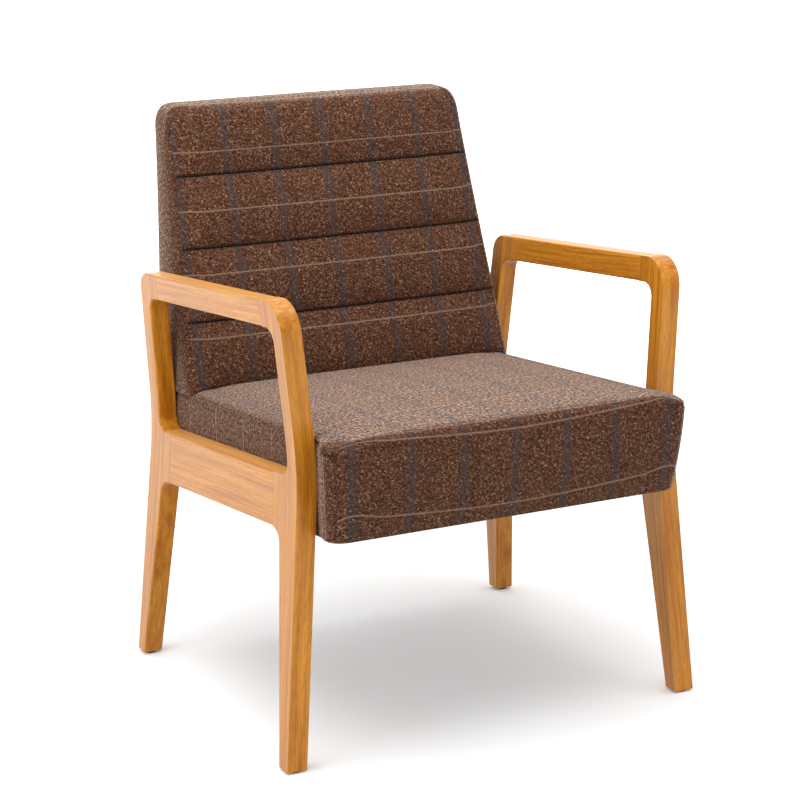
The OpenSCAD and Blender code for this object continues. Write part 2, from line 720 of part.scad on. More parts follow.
module back_pegs(d, length) {
  for (side = [-1, 1], z = back_rail_z, share = [0.27, 0.73])
    translate([side * (stile_in + rail_bite - back_peg_len / 2), stile_front + rail_t / 2,
      z + back_rail_h * share])
      cross_pin(d, length);
}
module back_stile(left) {
  color(beech) centred() difference() {
    intersection() {
      back_place() stile_box(0);
      translate([left ? -frame_w : 0, -far, -far]) cube([frame_w, 4 * far, 4 * far]);
    }
    back_place() back_pegs(seat_peg_d + 2 * glue_gap, back_peg_len + 2);
    seat_place() {
      translate([-frame_w, rear_rail_y - far, -far]) cube([2 * frame_w, far, far + seat_rail_top]);
      back_bolt_holes(bolt_d + 2 * bolt_gap);
      at_back_bolts() translate([0, 0, stile_seat]) cylinder(d = washer_d + 2 * rest_gap, h = 3 * rail_t);
    }
  }
}
module back_rail(z) {
  color(beech) centred() back_place() difference() {
    translate([-stile_in, stile_front, z]) cube([2 * stile_in, rail_t, back_rail_h]);
    back_pegs(seat_peg_d + 2 * glue_gap, back_peg_len + 2);
  }
}
module back_dowels() {
  color(beech) centred() back_place() back_pegs(seat_peg_d, back_peg_len);
}
back_web_count = 4;
module back_webbing() {
  from = back_rail_z[0];
  pitch = (stile_top - from) / back_web_count;
  color(web_colour) centred() back_place() for (i = [0:back_web_count - 1])
    translate([0, stile_front - web_t / 2, from + pitch * (i + 0.5)])
      cube([stile_pitch + stile_w - 8, web_t, web_w], center = true);
}

// Wedge inside the back, in the side view, with room on each of its sides
function back_wedge(front_in, rear_in, top_in, foot_up) =
  let (front = back_foot + [front_in, 0],
       rear = back_hinge - rear_in * behind,
       top = [0, chair_h - top_in],
       low = seat_world([0, 0, seat_top_z + foot_up]),
       foot = [low.y, low.z])
  [meet(front, up_back, foot, along_seat), meet(rear, up_back_rear, foot, along_seat),
   meet(rear, up_back_rear, top, level), meet(front, up_back, top, level)];
foam_front = back_pad + rest_gap;
foam_rear = -stile_front + web_t + rest_gap;
foam_half = back_top_w / 2 - side_cover - rest_gap;
module back_foam() {
  color(foam_colour) centred() across(2 * foam_half)
    polygon(back_wedge(foam_front, foam_rear, top_pad + rest_gap, back_rests));
}
module back_cover() {
  color(tweed) centred() difference() {
    lofted(back_rings());
    translate([0, 0, back_rests]) seat_place() lofted(seat_rings(0, 0, seat_bottom_r));
    across(back_top_w - 2 * side_cover) polygon(back_wedge(back_pad, cover_t, top_pad, -seat_side_h / 2));
  }
}

// Bolts, washers, threaded inserts and nuts
socket_w = 6;
module bolt(length) {
  difference() {
    union() {
      translate([0, 0, -bolt_head_h]) cylinder(d = bolt_head_d, h = bolt_head_h);
      cylinder(d = bolt_d, h = length);
    }
    translate([0, 0, -bolt_head_h - 1]) cylinder(d = socket_w / cos(30), h = bolt_head_h / 2 + 1, $fn = 6);
  }
}
module ring(outer_d, inner_d, h) {
  difference() {
    cylinder(d = outer_d, h = h);
    translate([0, 0, -1]) cylinder(d = inner_d, h = h + 2);
  }
}
bolt_room = 2;
module frame_bolts(left) {
  color(steel) centred() sided(left) for (p = seat_bolt_points)
    translate([seat_rail_in - washer_t, p.y, p.z]) rotate([0, 90, 0])
      bolt(insert_x(p) + insert_len - bolt_room - seat_rail_in + washer_t);
}
module frame_washers() {
  color(steel) centred() for (left = [false, true]) sided(left) for (p = seat_bolt_points)
    translate([seat_rail_in - washer_t, p.y, p.z]) rotate([0, 90, 0])
      ring(washer_d, bolt_d + 2 * bolt_gap, washer_t);
}
module frame_inserts() {
  color(brass) centred() for (left = [false, true]) sided(left) for (p = seat_bolt_points)
    translate([insert_x(p), p.y, p.z]) rotate([0, 90, 0]) ring(insert_d, bolt_d, insert_len);
}
nut_w = 13;
nut_t = 6.5;
module back_bolts() {
  color(steel) centred() seat_place() at_back_bolts()
    translate([0, 0, stile_seat + washer_t]) mirror([0, 0, 1])
      bolt(stile_seat + 2 * washer_t + rail_t + nut_t + bolt_room);
}
module back_washers() {
  color(steel) centred() seat_place() at_back_bolts() {
    translate([0, 0, stile_seat]) ring(washer_d, bolt_d + 2 * bolt_gap, washer_t);
    translate([0, 0, -rail_t - washer_t]) ring(washer_d, bolt_d + 2 * bolt_gap, washer_t);
  }
}
module back_nuts() {
  color(steel) centred() seat_place() at_back_bolts()
    translate([0, 0, -rail_t - washer_t - nut_t]) difference() {
      cylinder(d = nut_w / cos(30), h = nut_t, $fn = 6);
      translate([0, 0, -1]) cylinder(d = bolt_d, h = nut_t + 2);
    }
}

front_leg(true);  // front_leg_left
front_leg(false);  // front_leg_right
rear_leg(true);  // rear_leg_left
rear_leg(false);  // rear_leg_right
arm(true);  // arm_left
arm(false);  // arm_right
side_rail(true);  // side_rail_left
side_rail(false);  // side_rail_right
frame_dowels(true);  // frame_dowels_left
frame_dowels(false);  // frame_dowels_right
foot_glides();
seat_front_rail();
seat_rear_rail();
seat_side_rail(true);  // seat_side_rail_left
seat_side_rail(false);  // seat_side_rail_right
seat_corner_blocks();
seat_dowels();
seat_webbing_across();
seat_webbing_along();
seat_foam();
seat_cover();
seat_dust_cover();
back_stile(true);  // back_stile_left
back_stile(false);  // back_stile_right
back_rail(back_rail_z[2]);  // back_top_rail
back_rail(back_rail_z[1]);  // back_middle_rail
back_rail(back_rail_z[0]);  // back_bottom_rail
back_dowels();
back_webbing();
back_foam();
back_cover();
frame_bolts(true);  // frame_bolts_left
frame_bolts(false);  // frame_bolts_right
frame_washers();
frame_inserts();
back_bolts();
back_washers();
back_nuts();
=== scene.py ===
"""An upholstered lounge chair in lacquered oak and tweed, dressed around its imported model."""

import json
import math

import bmesh
import bpy
import numpy as np
from bpy.props import FloatProperty, FloatVectorProperty, PointerProperty
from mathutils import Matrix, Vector
from mathutils.bvhtree import BVHTree
from mathutils.kdtree import KDTree


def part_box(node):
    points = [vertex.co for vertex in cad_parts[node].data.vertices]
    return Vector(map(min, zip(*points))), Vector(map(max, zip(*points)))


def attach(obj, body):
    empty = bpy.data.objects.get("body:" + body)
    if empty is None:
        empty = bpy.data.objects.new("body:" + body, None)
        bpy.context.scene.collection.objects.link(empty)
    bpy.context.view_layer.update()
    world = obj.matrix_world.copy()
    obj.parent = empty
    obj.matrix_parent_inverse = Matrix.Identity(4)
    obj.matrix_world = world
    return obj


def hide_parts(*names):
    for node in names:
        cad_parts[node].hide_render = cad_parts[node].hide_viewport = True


bl_info = {
    "name": "Lounge chair",
    "version": (1, 0, 0),
    "blender": (4, 5, 0),
    "location": "View3D > Sidebar > Chair",
    "description": "Makes an upholstered lounge chair with bent oak side frames",
    "category": "Object",
}

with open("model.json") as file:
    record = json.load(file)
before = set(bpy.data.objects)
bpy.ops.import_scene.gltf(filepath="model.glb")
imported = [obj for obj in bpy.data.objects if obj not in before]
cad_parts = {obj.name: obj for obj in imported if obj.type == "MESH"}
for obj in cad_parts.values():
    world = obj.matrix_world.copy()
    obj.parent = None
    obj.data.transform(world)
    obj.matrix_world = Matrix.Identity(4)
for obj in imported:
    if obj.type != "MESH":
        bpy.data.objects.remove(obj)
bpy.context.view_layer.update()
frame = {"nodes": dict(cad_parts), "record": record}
NODES = frame["nodes"]
BODY = "root"


# Small tools
def srgb(code):
    """Linear red, green and blue of an sRGB colour written as a hex value."""
    parts = [int(code[i : i + 2], 16) / 255 for i in (1, 3, 5)]
    return tuple(
        p / 12.92 if p <= 0.04045 else ((p + 0.055) / 1.055) ** 2.4 for p in parts
    )


def length(name, description, metres):
    return FloatProperty(
        name=name, description=description, default=metres, unit="LENGTH", precision=4
    )


def angle(name, description, degrees):
    return FloatProperty(
        name=name, description=description, default=math.radians(degrees), subtype="ANGLE"
    )


def colour(name, description, code):
    return FloatVectorProperty(
        name=name, description=description, default=srgb(code), subtype="COLOR", min=0, max=1
    )


def number(name, description, value):
    return FloatProperty(name=name, description=description, default=value)


def ease(v):
    """A smooth rise from 0 to 1 as v goes from 0 to 1."""
    c = min(max(v, 0.0), 1.0)
    return c * c * (3 - 2 * c)


def add(tree, kind, inputs=None, stops=None, **settings):
    """Adds a node with its settings, its colour stops and its links. An input is a
    value, a socket, or a node whose first output in use feeds it."""
    made = tree.nodes.new(kind)
    for key, value in settings.items():
        setattr(made, key, value)
    for i, (position, value) in enumerate(stops or []):
        elements = made.color_ramp.elements
        element = elements[i] if i < 2 else elements.new(position)
        element.position = position
        element.color = (*value, 1) if isinstance(value, tuple) else (value, value, value, 1)
    for key, value in (inputs or {}).items():
        socket = (
            made.inputs[key]
            if isinstance(key, int)
            else next(s for s in made.inputs if s.name == key and s.enabled)
        )
        if isinstance(value, bpy.types.Node):
            value = next(s for s in value.outputs if s.enabled)
        if isinstance(value, bpy.types.NodeSocket):
            tree.links.new(value, socket)
        elif socket.type == "RGBA":
            socket.default_value = (*tuple(value)[:3], 1)
        else:
            socket.default_value = value
    return made


def new_material(name):
    material = bpy.data.materials.new(name)
    material.use_nodes = True
    material.node_tree.nodes.clear()
    return material, material.node_tree


def finish_material(tree, inputs):
    shader = add(tree, "ShaderNodeBsdfPrincipled", inputs)
    add(tree, "ShaderNodeOutputMaterial", {"Surface": shader})


def link(name, mesh, material):
    made = bpy.data.objects.new(name, mesh)
    bpy.context.scene.collection.objects.link(made)
    if material:
        mesh.materials.append(material)
    return made


def settle(piece):
    """Turns a piece with its modifiers into a plain mesh at the origin."""
    bpy.context.view_layer.update()
    graph = bpy.context.evaluated_depsgraph_get()
    mesh = bpy.data.meshes.new_from_object(piece.evaluated_get(graph), depsgraph=graph)
    old = piece.data
    piece.modifiers.clear()
    piece.data = mesh
    bpy.data.meshes.remove(old)
    return piece


def place(piece, slot, *nodes):
    """The piece rides on the chair and stands for its nodes; its slot is not used."""
    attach(piece, BODY)
    if nodes:
        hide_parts(*nodes)
    return piece


# Sizes and colours
class OakFrameSizes(bpy.types.PropertyGroup):
    arm_height: length("Arm height", "Height of the arms at their front ends", 0.629)
    rail_height: length("Rail height", "Height of the side rail's top at the front", 0.397)
    foot_depth: length("Foot depth",
        "Front edge of the front foot to the rear edge of the rear one", 0.527)
    rail_tilt: angle("Rail tilt", "Fall of the arms and rails to the rear", 5.8)
    front_lean: angle("Front lean", "Lean of the front legs to the rear", 3.7)
    rear_lean: angle("Rear lean", "Lean of the rear legs to the front, below the waist", 1.6)
    rear_post_lean: angle("Rear post lean",
        "Lean of the rear legs to the front, above the waist", 2.8)
    width: length("Width", "Width over both frames at the waist", 0.584)
    stock: length("Stock", "Thickness of the oak", 0.029)
    arm_flare: angle("Arm flare", "Lean of the arms outward", 4.8)
    leg_splay: angle("Leg splay", "Lean of the legs outward", 4.6)
    waist_radius: length("Waist radius", "Radius of the bend at the waist", 0.640)
    waist_rise: length("Waist rise", "Height of the waist above the rail's top", 0.007)
    foot_width: length("Foot width", "Width of a leg at the floor, from the side", 0.025)
    front_knee: length("Front knee", "Width of a front leg at the rail", 0.050)
    rear_knee: length("Rear knee", "Width of a rear leg at the rail", 0.052)
    front_post: length("Front post", "Width of a front leg above the rail", 0.026)
    rear_post: length("Rear post", "Width of a rear leg above the rail", 0.031)
    arm_depth: length("Arm depth", "Depth of an arm", 0.036)
    rail_depth: length("Rail depth", "Depth of a side rail", 0.074)
    front_shoulder: length("Front shoulder", "Radius at the front end of an arm", 0.042)
    rear_shoulder: length("Rear shoulder", "Radius at the rear end of an arm", 0.026)
    window_radius: length("Window radius", "Radius in the corners of the opening", 0.020)
    knee_radius: length("Knee radius", "Radius between a leg and the rail", 0.022)
    arm_joint: length("Arm joint", "Distance from an arm's end to its glued joint", 0.060)
    rail_joint: length("Rail joint", "Distance from a rail's end to its glued joint", 0.072)
    glide: length("Glide", "Thickness of the glides under the legs", 0.003)
    arris: length("Arris", "Radius of the sanded edges", 0.0028)
    joint_line: length("Joint line", "Width of the fine groove at a glued joint", 0.0004)
    light: colour("Light oak", "Colour of the pale summer growth", "#CD8A2B")
    dark: colour("Dark oak", "Colour of the darker winter growth", "#A75F0D")
    gleam: colour("Gleam", "Tint of the wood's own gleam under the lacquer", "#F0B46A")
    pore: colour("Pores", "Colour of the open pores under the lacquer", "#754106")


class TweedSizes(bpy.types.PropertyGroup):
    yarn: length("Yarn", "Distance between two yarns", 0.0013)
    fleck: length("Fleck", "Size of the flecks of dyed wool", 0.0017)
    stripe_pitch: length("Stripe pitch", "Distance between two blue stripes", 0.0783)
    stripe_place: length("Stripe place", "Place of the stripe nearest the middle", -0.0035)
    stripe_width: length("Stripe width", "Width of a blue stripe", 0.0114)
    line_pitch: length("Line pitch", "Distance between two pale lines", 0.0920)
    line_width: length("Line width", "Width of a pale line", 0.0020)
    ground: colour("Ground", "Colour of the brown wool", "#573223")
    rust: colour("Rust", "Colour of the rust flecks", "#6E3822")
    moss: colour("Moss", "Colour of the olive flecks", "#533D21")
    pale: colour("Pale", "Colour of the pale flecks", "#876A57")
    dark: colour("Dark", "Colour of the dark flecks", "#2A140B")
    stripe: colour("Stripe", "Colour of the blue stripes", "#3B3B42")
    line: colour("Line", "Colour of the pale lines", "#977C68")
    # The nap's colour tints the sheen, and is also added into the cloth's colour at a slant as a
    # painted sheen
    nap_sheen: colour("Nap", "What the nap adds to the colour at a slant", "#695D54")
    sheen: number("Sheen", "Strength of the nap's gleam", 0.2)
    stripe_share: number("Stripe share", "Share of blue wool in a stripe", 0.76)
    line_share: number("Line share", "Share of pale wool in a line", 0.65)


class CushionSizes(bpy.types.PropertyGroup):
    seat_depth: length("Seat depth", "Depth of the seat's block, measured along it", 0.57236)
    seat_half: length("Seat half width", "Half of the seat's width", 0.261)
    seat_side: length("Seat side", "Height of the seat's side boxing", 0.128)
    seat_tilt: angle("Seat tilt", "Fall of the seat to the rear", 5.2)
    seat_roll: length("Seat roll", "Height of the seat's rounded top edge", 0.011)
    seat_side_roll: length("Seat side roll", "Reach of that edge in from the sides", 0.028)
    seat_crown: length("Seat crown", "Rise of the seat's middle", 0.008)
    seat_front_low: FloatVectorProperty(
        name="Seat front", description="Lower front edge of the seat's block, y and z",
        default=(-0.030, 0.31847), size=2, unit="LENGTH")
    nose_swell: length("Nose swell", "Reach of the front panel's top over its foot", 0.026)
    cheek_swell: length("Cheek swell", "Swell of the corners ahead of the front legs", 0.014)
    corner_sink: length("Corner sink", "How far the seat's front top corners sink", 0.008)
    free_depth: length("Free depth", "Depth of the seat in front of the back", 0.474)
    seat_rear_corner: length("Seat rear corner", "Radius of the seat's rear corners", 0.010)
    back_corner: length("Back corner", "Radius of the back's upright rear edges", 0.016)
    seat_corner: length("Seat corner", "Radius of the seat's front corners", 0.024)
    chair_height: length("Chair height", "Height of the back's top", 0.807)
    back_lean: angle("Back lean", "Lean of the back's front", 18)
    back_rear_lean: angle("Rear lean", "Lean of the back's rear", 8.6)
    back_top_half: length("Back top", "Half of the back's width at its top", 0.2395)
    back_foot_reach: length("Back foot", "Reach of the back's foot past the seat", 0.0035)
    top_channel: length("Top channel", "Height of the top channel", 0.098)
    channel: length("Channel", "Height of the other channels", 0.1005)
    channel_puff: length("Channel puff", "Swell of a channel between its seams", 0.010)
    back_roll: length("Back roll", "Radius of the back's top edge", 0.014)
    back_shoulder_in: length("Shoulder reach", "Reach of the back's rounded top corners", 0.024)
    back_shoulder_height: length("Shoulder height",
        "Height of the back's rounded top corners", 0.030)
    back_edge: length("Back edge", "Radius of the back's upright front edges", 0.010)
    pressure: number("Pressure", "Pressure of the filling on the cloth", 4.0)


class FittingSizes(bpy.types.PropertyGroup):
    stitch: length("Stitch", "Distance between two stitches", 0.0042)
    thread: length("Thread", "Thickness of the sewing thread", 0.0007)
    turned_edge: length("Turned edge", "Width of the dust cover's turned-in edge", 0.014)
    dust_sag: length("Dust cover sag", "Sag of the dust cover in its middle", 0.0025)
    beech: colour("Beech", "Colour of the beech", "#D9B48A")
    beech_dark: colour("Dark beech", "Colour of its darker grain", "#C29668")
    beech_ray: colour("Beech rays", "Colour of its short flecks", "#9C6E47")


class StageSizes(bpy.types.PropertyGroup):
    camera_place: FloatVectorProperty(
        name="Camera", description="Place of the camera, its y from the front feet", size=3,
        unit="LENGTH", default=(-1.6260, -2.75854, 1.3334))
    camera_turn: angle("Camera turn", "Turn of the camera to the right", 28.083)
    camera_dip: angle("Camera dip", "Fall of the camera's view", 15.059)
    lens: number("Lens", "Focal length in mm", 112.26)
    floor: colour("Floor", "Colour of the floor", "#E6E6E5")
    floor_glow: number("Floor glow", "Even light of the floor near the chair", 0.055)
    fill: number("Fill", "Strength of the light from all around", 0.90)
    key: number("Key", "Power of the soft box above", 43.0)
    side: number("Side", "Power of the soft box on the left", 9.5)


class ChairSettings(bpy.types.PropertyGroup):
    frame: PointerProperty(type=OakFrameSizes)
    tweed: PointerProperty(type=TweedSizes)
    cushion: PointerProperty(type=CushionSizes)
    fittings: PointerProperty(type=FittingSizes)
    stage: PointerProperty(type=StageSizes)


# Lacquered oak
def oak_material(name, sizes, painted_lighter=1.0):
    """Oak, planed and sanded, under satin lacquer: the darker winter growth and the
    open pores run along the board, and the lacquer mirrors the white room at a slant.
    The pores are drawn three times as wide as real ones, so that they show. Patterns are
    given by how often they repeat in a metre: along the grain, across and through."""
    drift_often, drift_reach = (3.0, 14.0, 14.0), (0.0, 0.011, 0.011)
    rings_often, clouds_often = (5.0, 250.0, 120.0), (5.0, 45.0, 45.0)
    pore_width, pore_length = 0.0009, 0.020
    pores_often = (1 / pore_length, 1 / pore_width, 1 / pore_width)
    # A copy of the oak can be painted lighter here, as painted light
    light, dark, pore = ([c * painted_lighter for c in tint]
        for tint in (sizes.light, sizes.dark, sizes.pore))

    material, tree = new_material(name)
    board = add(tree, "ShaderNodeAttribute", attribute_name="board").outputs["Vector"]
    drift = add(tree, "ShaderNodeTexNoise",
        {"Vector": add(tree, "ShaderNodeVectorMath", {0: board, 1: drift_often},
            operation="MULTIPLY"), "Scale": 1.0, "Detail": 2.0})
    moved = add(tree, "ShaderNodeVectorMath", {0: drift.outputs["Color"], 1: drift_reach},
        operation="MULTIPLY")
    bent = add(tree, "ShaderNodeVectorMath", {0: moved, 1: board}, operation="ADD")
    # Growth rings of 2 to 6 mm, cut at a slant, the pores, and paler and darker clouds
    patterns = []
    for base, often, detail, roughness in (
        (bent, rings_often, 2.0, 0.55), (bent, pores_often, 3.0, 0.6),
        (board, clouds_often, 4.0, 0.5),
    ):
        stretched = add(tree, "ShaderNodeVectorMath", {0: base, 1: often}, operation="MULTIPLY")
        patterns.append(add(tree, "ShaderNodeTexNoise", {"Vector": stretched, "Scale": 1.0,
            "Detail": detail, "Roughness": roughness}))
    rings, streaks, cloudy = patterns
    winter = add(tree, "ShaderNodeMapRange",
        {"Value": rings, "From Min": 0.32, "From Max": 0.68})
    pores = add(tree, "ShaderNodeValToRGB", {"Fac": streaks},
        stops=[(0.33, 1.0), (0.48, 0.0)])
    tone = add(tree, "ShaderNodeMix", {"Factor": winter, "A": light, "B": dark},
        data_type="RGBA")
    shade = add(tree, "ShaderNodeValToRGB", {"Fac": cloudy}, stops=[(0.30, 0.88), (0.70, 1.08)])
    shaded = add(tree, "ShaderNodeMix", {"Factor": 1.0, "A": tone, "B": shade},
        data_type="RGBA", blend_type="MULTIPLY")
    grained = add(tree, "ShaderNodeMix",
        {"Factor": add(tree, "ShaderNodeMath", {0: pores, 1: 0.62}, operation="MULTIPLY"),
         "A": shaded, "B": pore}, data_type="RGBA")
    bump = add(tree, "ShaderNodeBump",
        {"Strength": 0.25, "Distance": 0.00025, "Height": pores}, invert=True)
    satin = add(tree, "ShaderNodeMapRange", {"Value": streaks, "To Min": 0.30, "To Max": 0.44})
    # Seen at a low slant, the lacquered grain gleams pale, as on the tops of the arms
    slant = add(tree, "ShaderNodeMapRange",
        {"Value": add(tree, "ShaderNodeLayerWeight", {"Blend": 0.5}).outputs["Facing"],
         "From Min": 0.62, "From Max": 0.80, "To Min": 0.0, "To Max": 0.5},
        interpolation_type="SMOOTHSTEP")
    gleaming = add(tree, "ShaderNodeMix", {"Factor": slant, "A": grained, "B": sizes.gleam},
        data_type="RGBA")
    finish_material(tree, {"Base Color": gleaming, "Roughness": satin, "Normal": bump,
        "IOR": 1.5, "Specular Tint": sizes.gleam, "Coat Weight": 0.38, "Coat Roughness": 0.2,
        "Coat IOR": 1.5})
    return material


# The side frames
class SideFrame:
    """Lines and outlines of one side frame in the side view, as points (y, z) with y
    from the front edge of the front foot."""

    def __init__(self, s):
        self.s = s
        self.along = np.array([math.cos(s.rail_tilt), -math.sin(s.rail_tilt)])
        self.square = np.array([math.sin(s.rail_tilt), math.cos(s.rail_tilt)])
        up_front = np.array([math.tan(s.front_lean), 1.0])
        up_rear = np.array([-math.tan(s.rear_lean), 1.0])
        up_post = np.array([-math.tan(s.rear_post_lean), 1.0])
        at = lambda y, z=0.0: np.array([y, z])
        rail_top = s.rail_height * up_front
        rail_low = rail_top - s.rail_depth * self.square
        arm_top = s.arm_height * up_front
        arm_low = arm_top - s.arm_depth * self.square
        rear = at(s.foot_depth)
        floor, level = at(0.0, s.glide), at(1.0)
        meet = self.meet
        knee_front = meet(at(s.front_knee), up_front, rail_low, self.along)
        knee_rear = meet(rear - at(s.rear_knee), up_rear, rail_low, self.along)
        waist_rear = meet(rear, up_rear, rail_top, self.along)
        shoulder_rear = meet(waist_rear, up_post, arm_top, self.along)
        post_rear = waist_rear - at(s.rear_post)
        toe_front = meet(at(s.foot_width), knee_front - at(s.foot_width), floor, level)
        toe_rear = meet(rear - at(s.foot_width), knee_rear - rear + at(s.foot_width), floor, level)
        window = [meet(at(s.front_post), up_front, rail_top, self.along),
            meet(post_rear, up_post, rail_top, self.along),
            meet(post_rear, up_post, arm_low, self.along),
            meet(at(s.front_post), up_front, arm_low, self.along)]
        arm_ends = [arm_top + s.arm_joint * self.along, shoulder_rear - s.arm_joint * self.along]
        rail_ends = [rail_top + s.rail_joint * self.along, waist_rear - s.rail_joint * self.along]
        down = lambda p, depth: p - depth * self.square
        w, k = s.window_radius, s.knee_radius
        arm_under = [down(p, s.arm_depth) for p in arm_ends]
        rail_under = [down(p, s.rail_depth) for p in rail_ends]
        self.waist = rail_top + s.waist_rise * self.square
        # Corners with their radii; a joint runs from a corner marked True to the next
        self.boards = {
            "front_leg": (up_front, [
                (arm_ends[0], 0, False), (arm_top, s.front_shoulder, False),
                (meet(at(0), up_front, floor, level), 0, False), (toe_front, 0, False),
                (knee_front, k, False), (rail_under[0], 0, True), (rail_ends[0], 0, False),
                (window[0], w, False), (window[3], w, False), (arm_under[0], 0, True)]),
            "rear_leg": (up_rear, [
                (rail_under[1], 0, False), (knee_rear, k, False), (toe_rear, 0, False),
                (meet(rear, up_rear, floor, level), 0, False), (waist_rear, 0, False),
                (shoulder_rear, s.rear_shoulder, False), (arm_ends[1], 0, True),
                (arm_under[1], 0, False), (window[2], w, False), (window[1], w, False),
                (rail_ends[1], 0, True)]),
            "arm": (self.along, [
                (arm_ends[0], 0, True), (arm_under[0], 0, False),
                (arm_under[1], 0, True), (arm_ends[1], 0, False)]),
            "side_rail": (self.along, [
                (rail_ends[0], 0, True), (rail_under[0], 0, False),
                (rail_under[1], 0, True), (rail_ends[1], 0, False)]),
        }

    @staticmethod
    def meet(p, u, q, v):
        cross = lambda a, b: a[0] * b[1] - a[1] * b[0]
        return p + u * cross(q - p, v) / cross(u, v)

    def height(self, p):
        """Height over the waist, square to the rail."""
        return float(np.dot(p - self.waist, self.square))

    def reach(self, p, depth):
        """X of the frame at a point of the side view, depth inward from its outer face."""
        s = self.s
        r = s.waist_radius - s.stock / 2 + depth
        middle = s.width / 2 - s.stock / 2 + s.waist_radius
        t = self.height(p)
        for lean, sign in ((s.arm_flare, 1), (s.leg_splay, -1)):
            past_bend = sign * t - r * math.sin(lean)
            if past_bend > 0:
                return middle - r * math.cos(lean) + past_bend * math.tan(lean)
        return middle - math.sqrt(r * r - t * t)


def rounded_loop(corners, steps=12):
    """Outline with its corners rounded; each point says if a joint starts there."""
    out = []
    for i, (b, radius, joint) in enumerate(corners):
        if radius == 0:
            out.append((b, joint))
            continue
        a, c = corners[i - 1][0], corners[(i + 1) % len(corners)][0]
        u, v = (a - b) / np.linalg.norm(a - b), (c - b) / np.linalg.norm(c - b)
        half = math.acos(np.clip(np.dot(u, v), -1, 1)) / 2
        centre = b + (u + v) / np.linalg.norm(u + v) * radius / math.sin(half)
        first = b + u * radius / math.tan(half) - centre
        last = b + v * radius / math.tan(half) - centre
        start = math.atan2(first[1], first[0])
        turn = (math.atan2(last[1], last[0]) - start + math.pi) % (2 * math.pi) - math.pi
        for k in range(steps + 1):
            at = start + turn * k / steps
            out.append((centre + radius * np.array([math.cos(at), math.sin(at)]), False))
    return out


def board_mesh(name, plan, kind, side, front):
    """One board: its outline is thickened, its edges are sanded, and it is cut in strips
    about the waist and bent. Its board attribute runs along the grain, across it and
    through the board, as before the bend, and starts elsewhere on each board."""
    strips, shift_along, shift_across = 18, 1.7, 0.013
    corner, crease = math.radians(30), math.radians(50)
    s = plan.s
    grain, corners = plan.boards[kind]
    loop = rounded_loop(corners)
    n = len(loop)
    flat = [np.array(p) for p, joint in loop]
    mesh = bpy.data.meshes.new(name)
    mesh.from_pydata(
        [(x, p[0], p[1]) for x in (0.0, s.stock) for p in flat], [],
        [list(range(n)), list(range(2 * n - 1, n - 1, -1))]
        + [[i + n, (i + 1) % n + n, (i + 1) % n, i] for i in range(n)])
    edge_share = {}
    fine = s.joint_line / s.arris
    for i in range(n):
        joint = loop[i][1]
        for base in (0, n):
            edge_share[frozenset((base + i, base + (i + 1) % n))] = fine if joint else 1.0
        before, after = flat[i] - flat[i - 1], flat[(i + 1) % n] - flat[i]
        turn = abs(math.atan2(before[0] * after[1] - before[1] * after[0], np.dot(before, after)))
        if turn > corner:
            edge_share[frozenset((i, n + i))] = fine if joint or loop[i - 1][1] else 1.0
    weight = mesh.attributes.new("bevel_weight_edge", "FLOAT", "EDGE")
    for e in mesh.edges:
        weight.data[e.index].value = edge_share.get(frozenset(e.vertices), 0.0)
    piece = link(name, mesh, None)
    sanded = piece.modifiers.new("sanded", "BEVEL")
    sanded.width, sanded.segments, sanded.limit_method = s.arris, 3, "WEIGHT"
    settle(piece)

    work = bmesh.new()
    work.from_mesh(piece.data)
    low = -(s.waist_radius + s.stock) * math.sin(s.leg_splay)
    high = (s.waist_radius + s.stock) * math.sin(s.arm_flare)
    for i in range(strips + 1):
        level = plan.waist + (low + (high - low) * i / strips) * plan.square
        bmesh.ops.bisect_plane(work, geom=work.verts[:] + work.edges[:] + work.faces[:],
            dist=1e-6, plane_co=(0, *level), plane_no=(0, *plan.square))
    board = work.verts.layers.float_vector.new("board")
    grain = grain / np.linalg.norm(grain)
    nth = sorted(plan.boards).index(kind) + (len(plan.boards) if side < 0 else 0)
    for v in work.verts:
        depth, p = v.co.x, np.array((v.co.y, v.co.z))
        v[board] = (float(np.dot(p, grain)) + shift_along * nth,
            float(p[0] * grain[1] - p[1] * grain[0]) + shift_across * nth, depth)
        v.co = (side * plan.reach(p, depth), p[0] + front, p[1])
    bmesh.ops.recalc_face_normals(work, faces=work.faces)
    for f in work.faces:
        f.smooth = True
    work.to_mesh(piece.data)
    work.free()
    piece.data.set_sharp_from_angle(angle=crease)
    return piece


def foot_front(sizes):
    """Y of the front edge of the front feet at the floor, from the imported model."""
    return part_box("front_leg_left")[0].y - sizes.glide * math.tan(sizes.front_lean)


class CHAIR_OT_side_frames(bpy.types.Operator):
    """Makes the legs, arms and side rails in lacquered oak"""

    bl_idname = "chair.side_frames"
    bl_label = "Oak side frames"

    def execute(self, context):
        sizes = context.scene.chair.frame
        plan = SideFrame(sizes)
        front = foot_front(sizes)
        legs = oak_material("oak_lacquered_legs", sizes)
        # The arms and rails take a copy of the oak painted 5 % lighter, as painted light on their
        # lit faces
        rails = oak_material("oak_lacquered_rails", sizes, painted_lighter=1.05)
        for kind in plan.boards:
            for side, word in ((-1, "left"), (1, "right")):
                node = f"{kind}_{word}"
                piece = board_mesh(node + "_oak", plan, kind, side, front)
                material, slot = (legs, "oak_legs") if "leg" in kind else (rails, "oak_rails")
                piece.data.materials.append(material)
                piece.modifiers.new("faces", "WEIGHTED_NORMAL").keep_sharp = True
                place(settle(piece), slot, node)
        return {"FINISHED"}


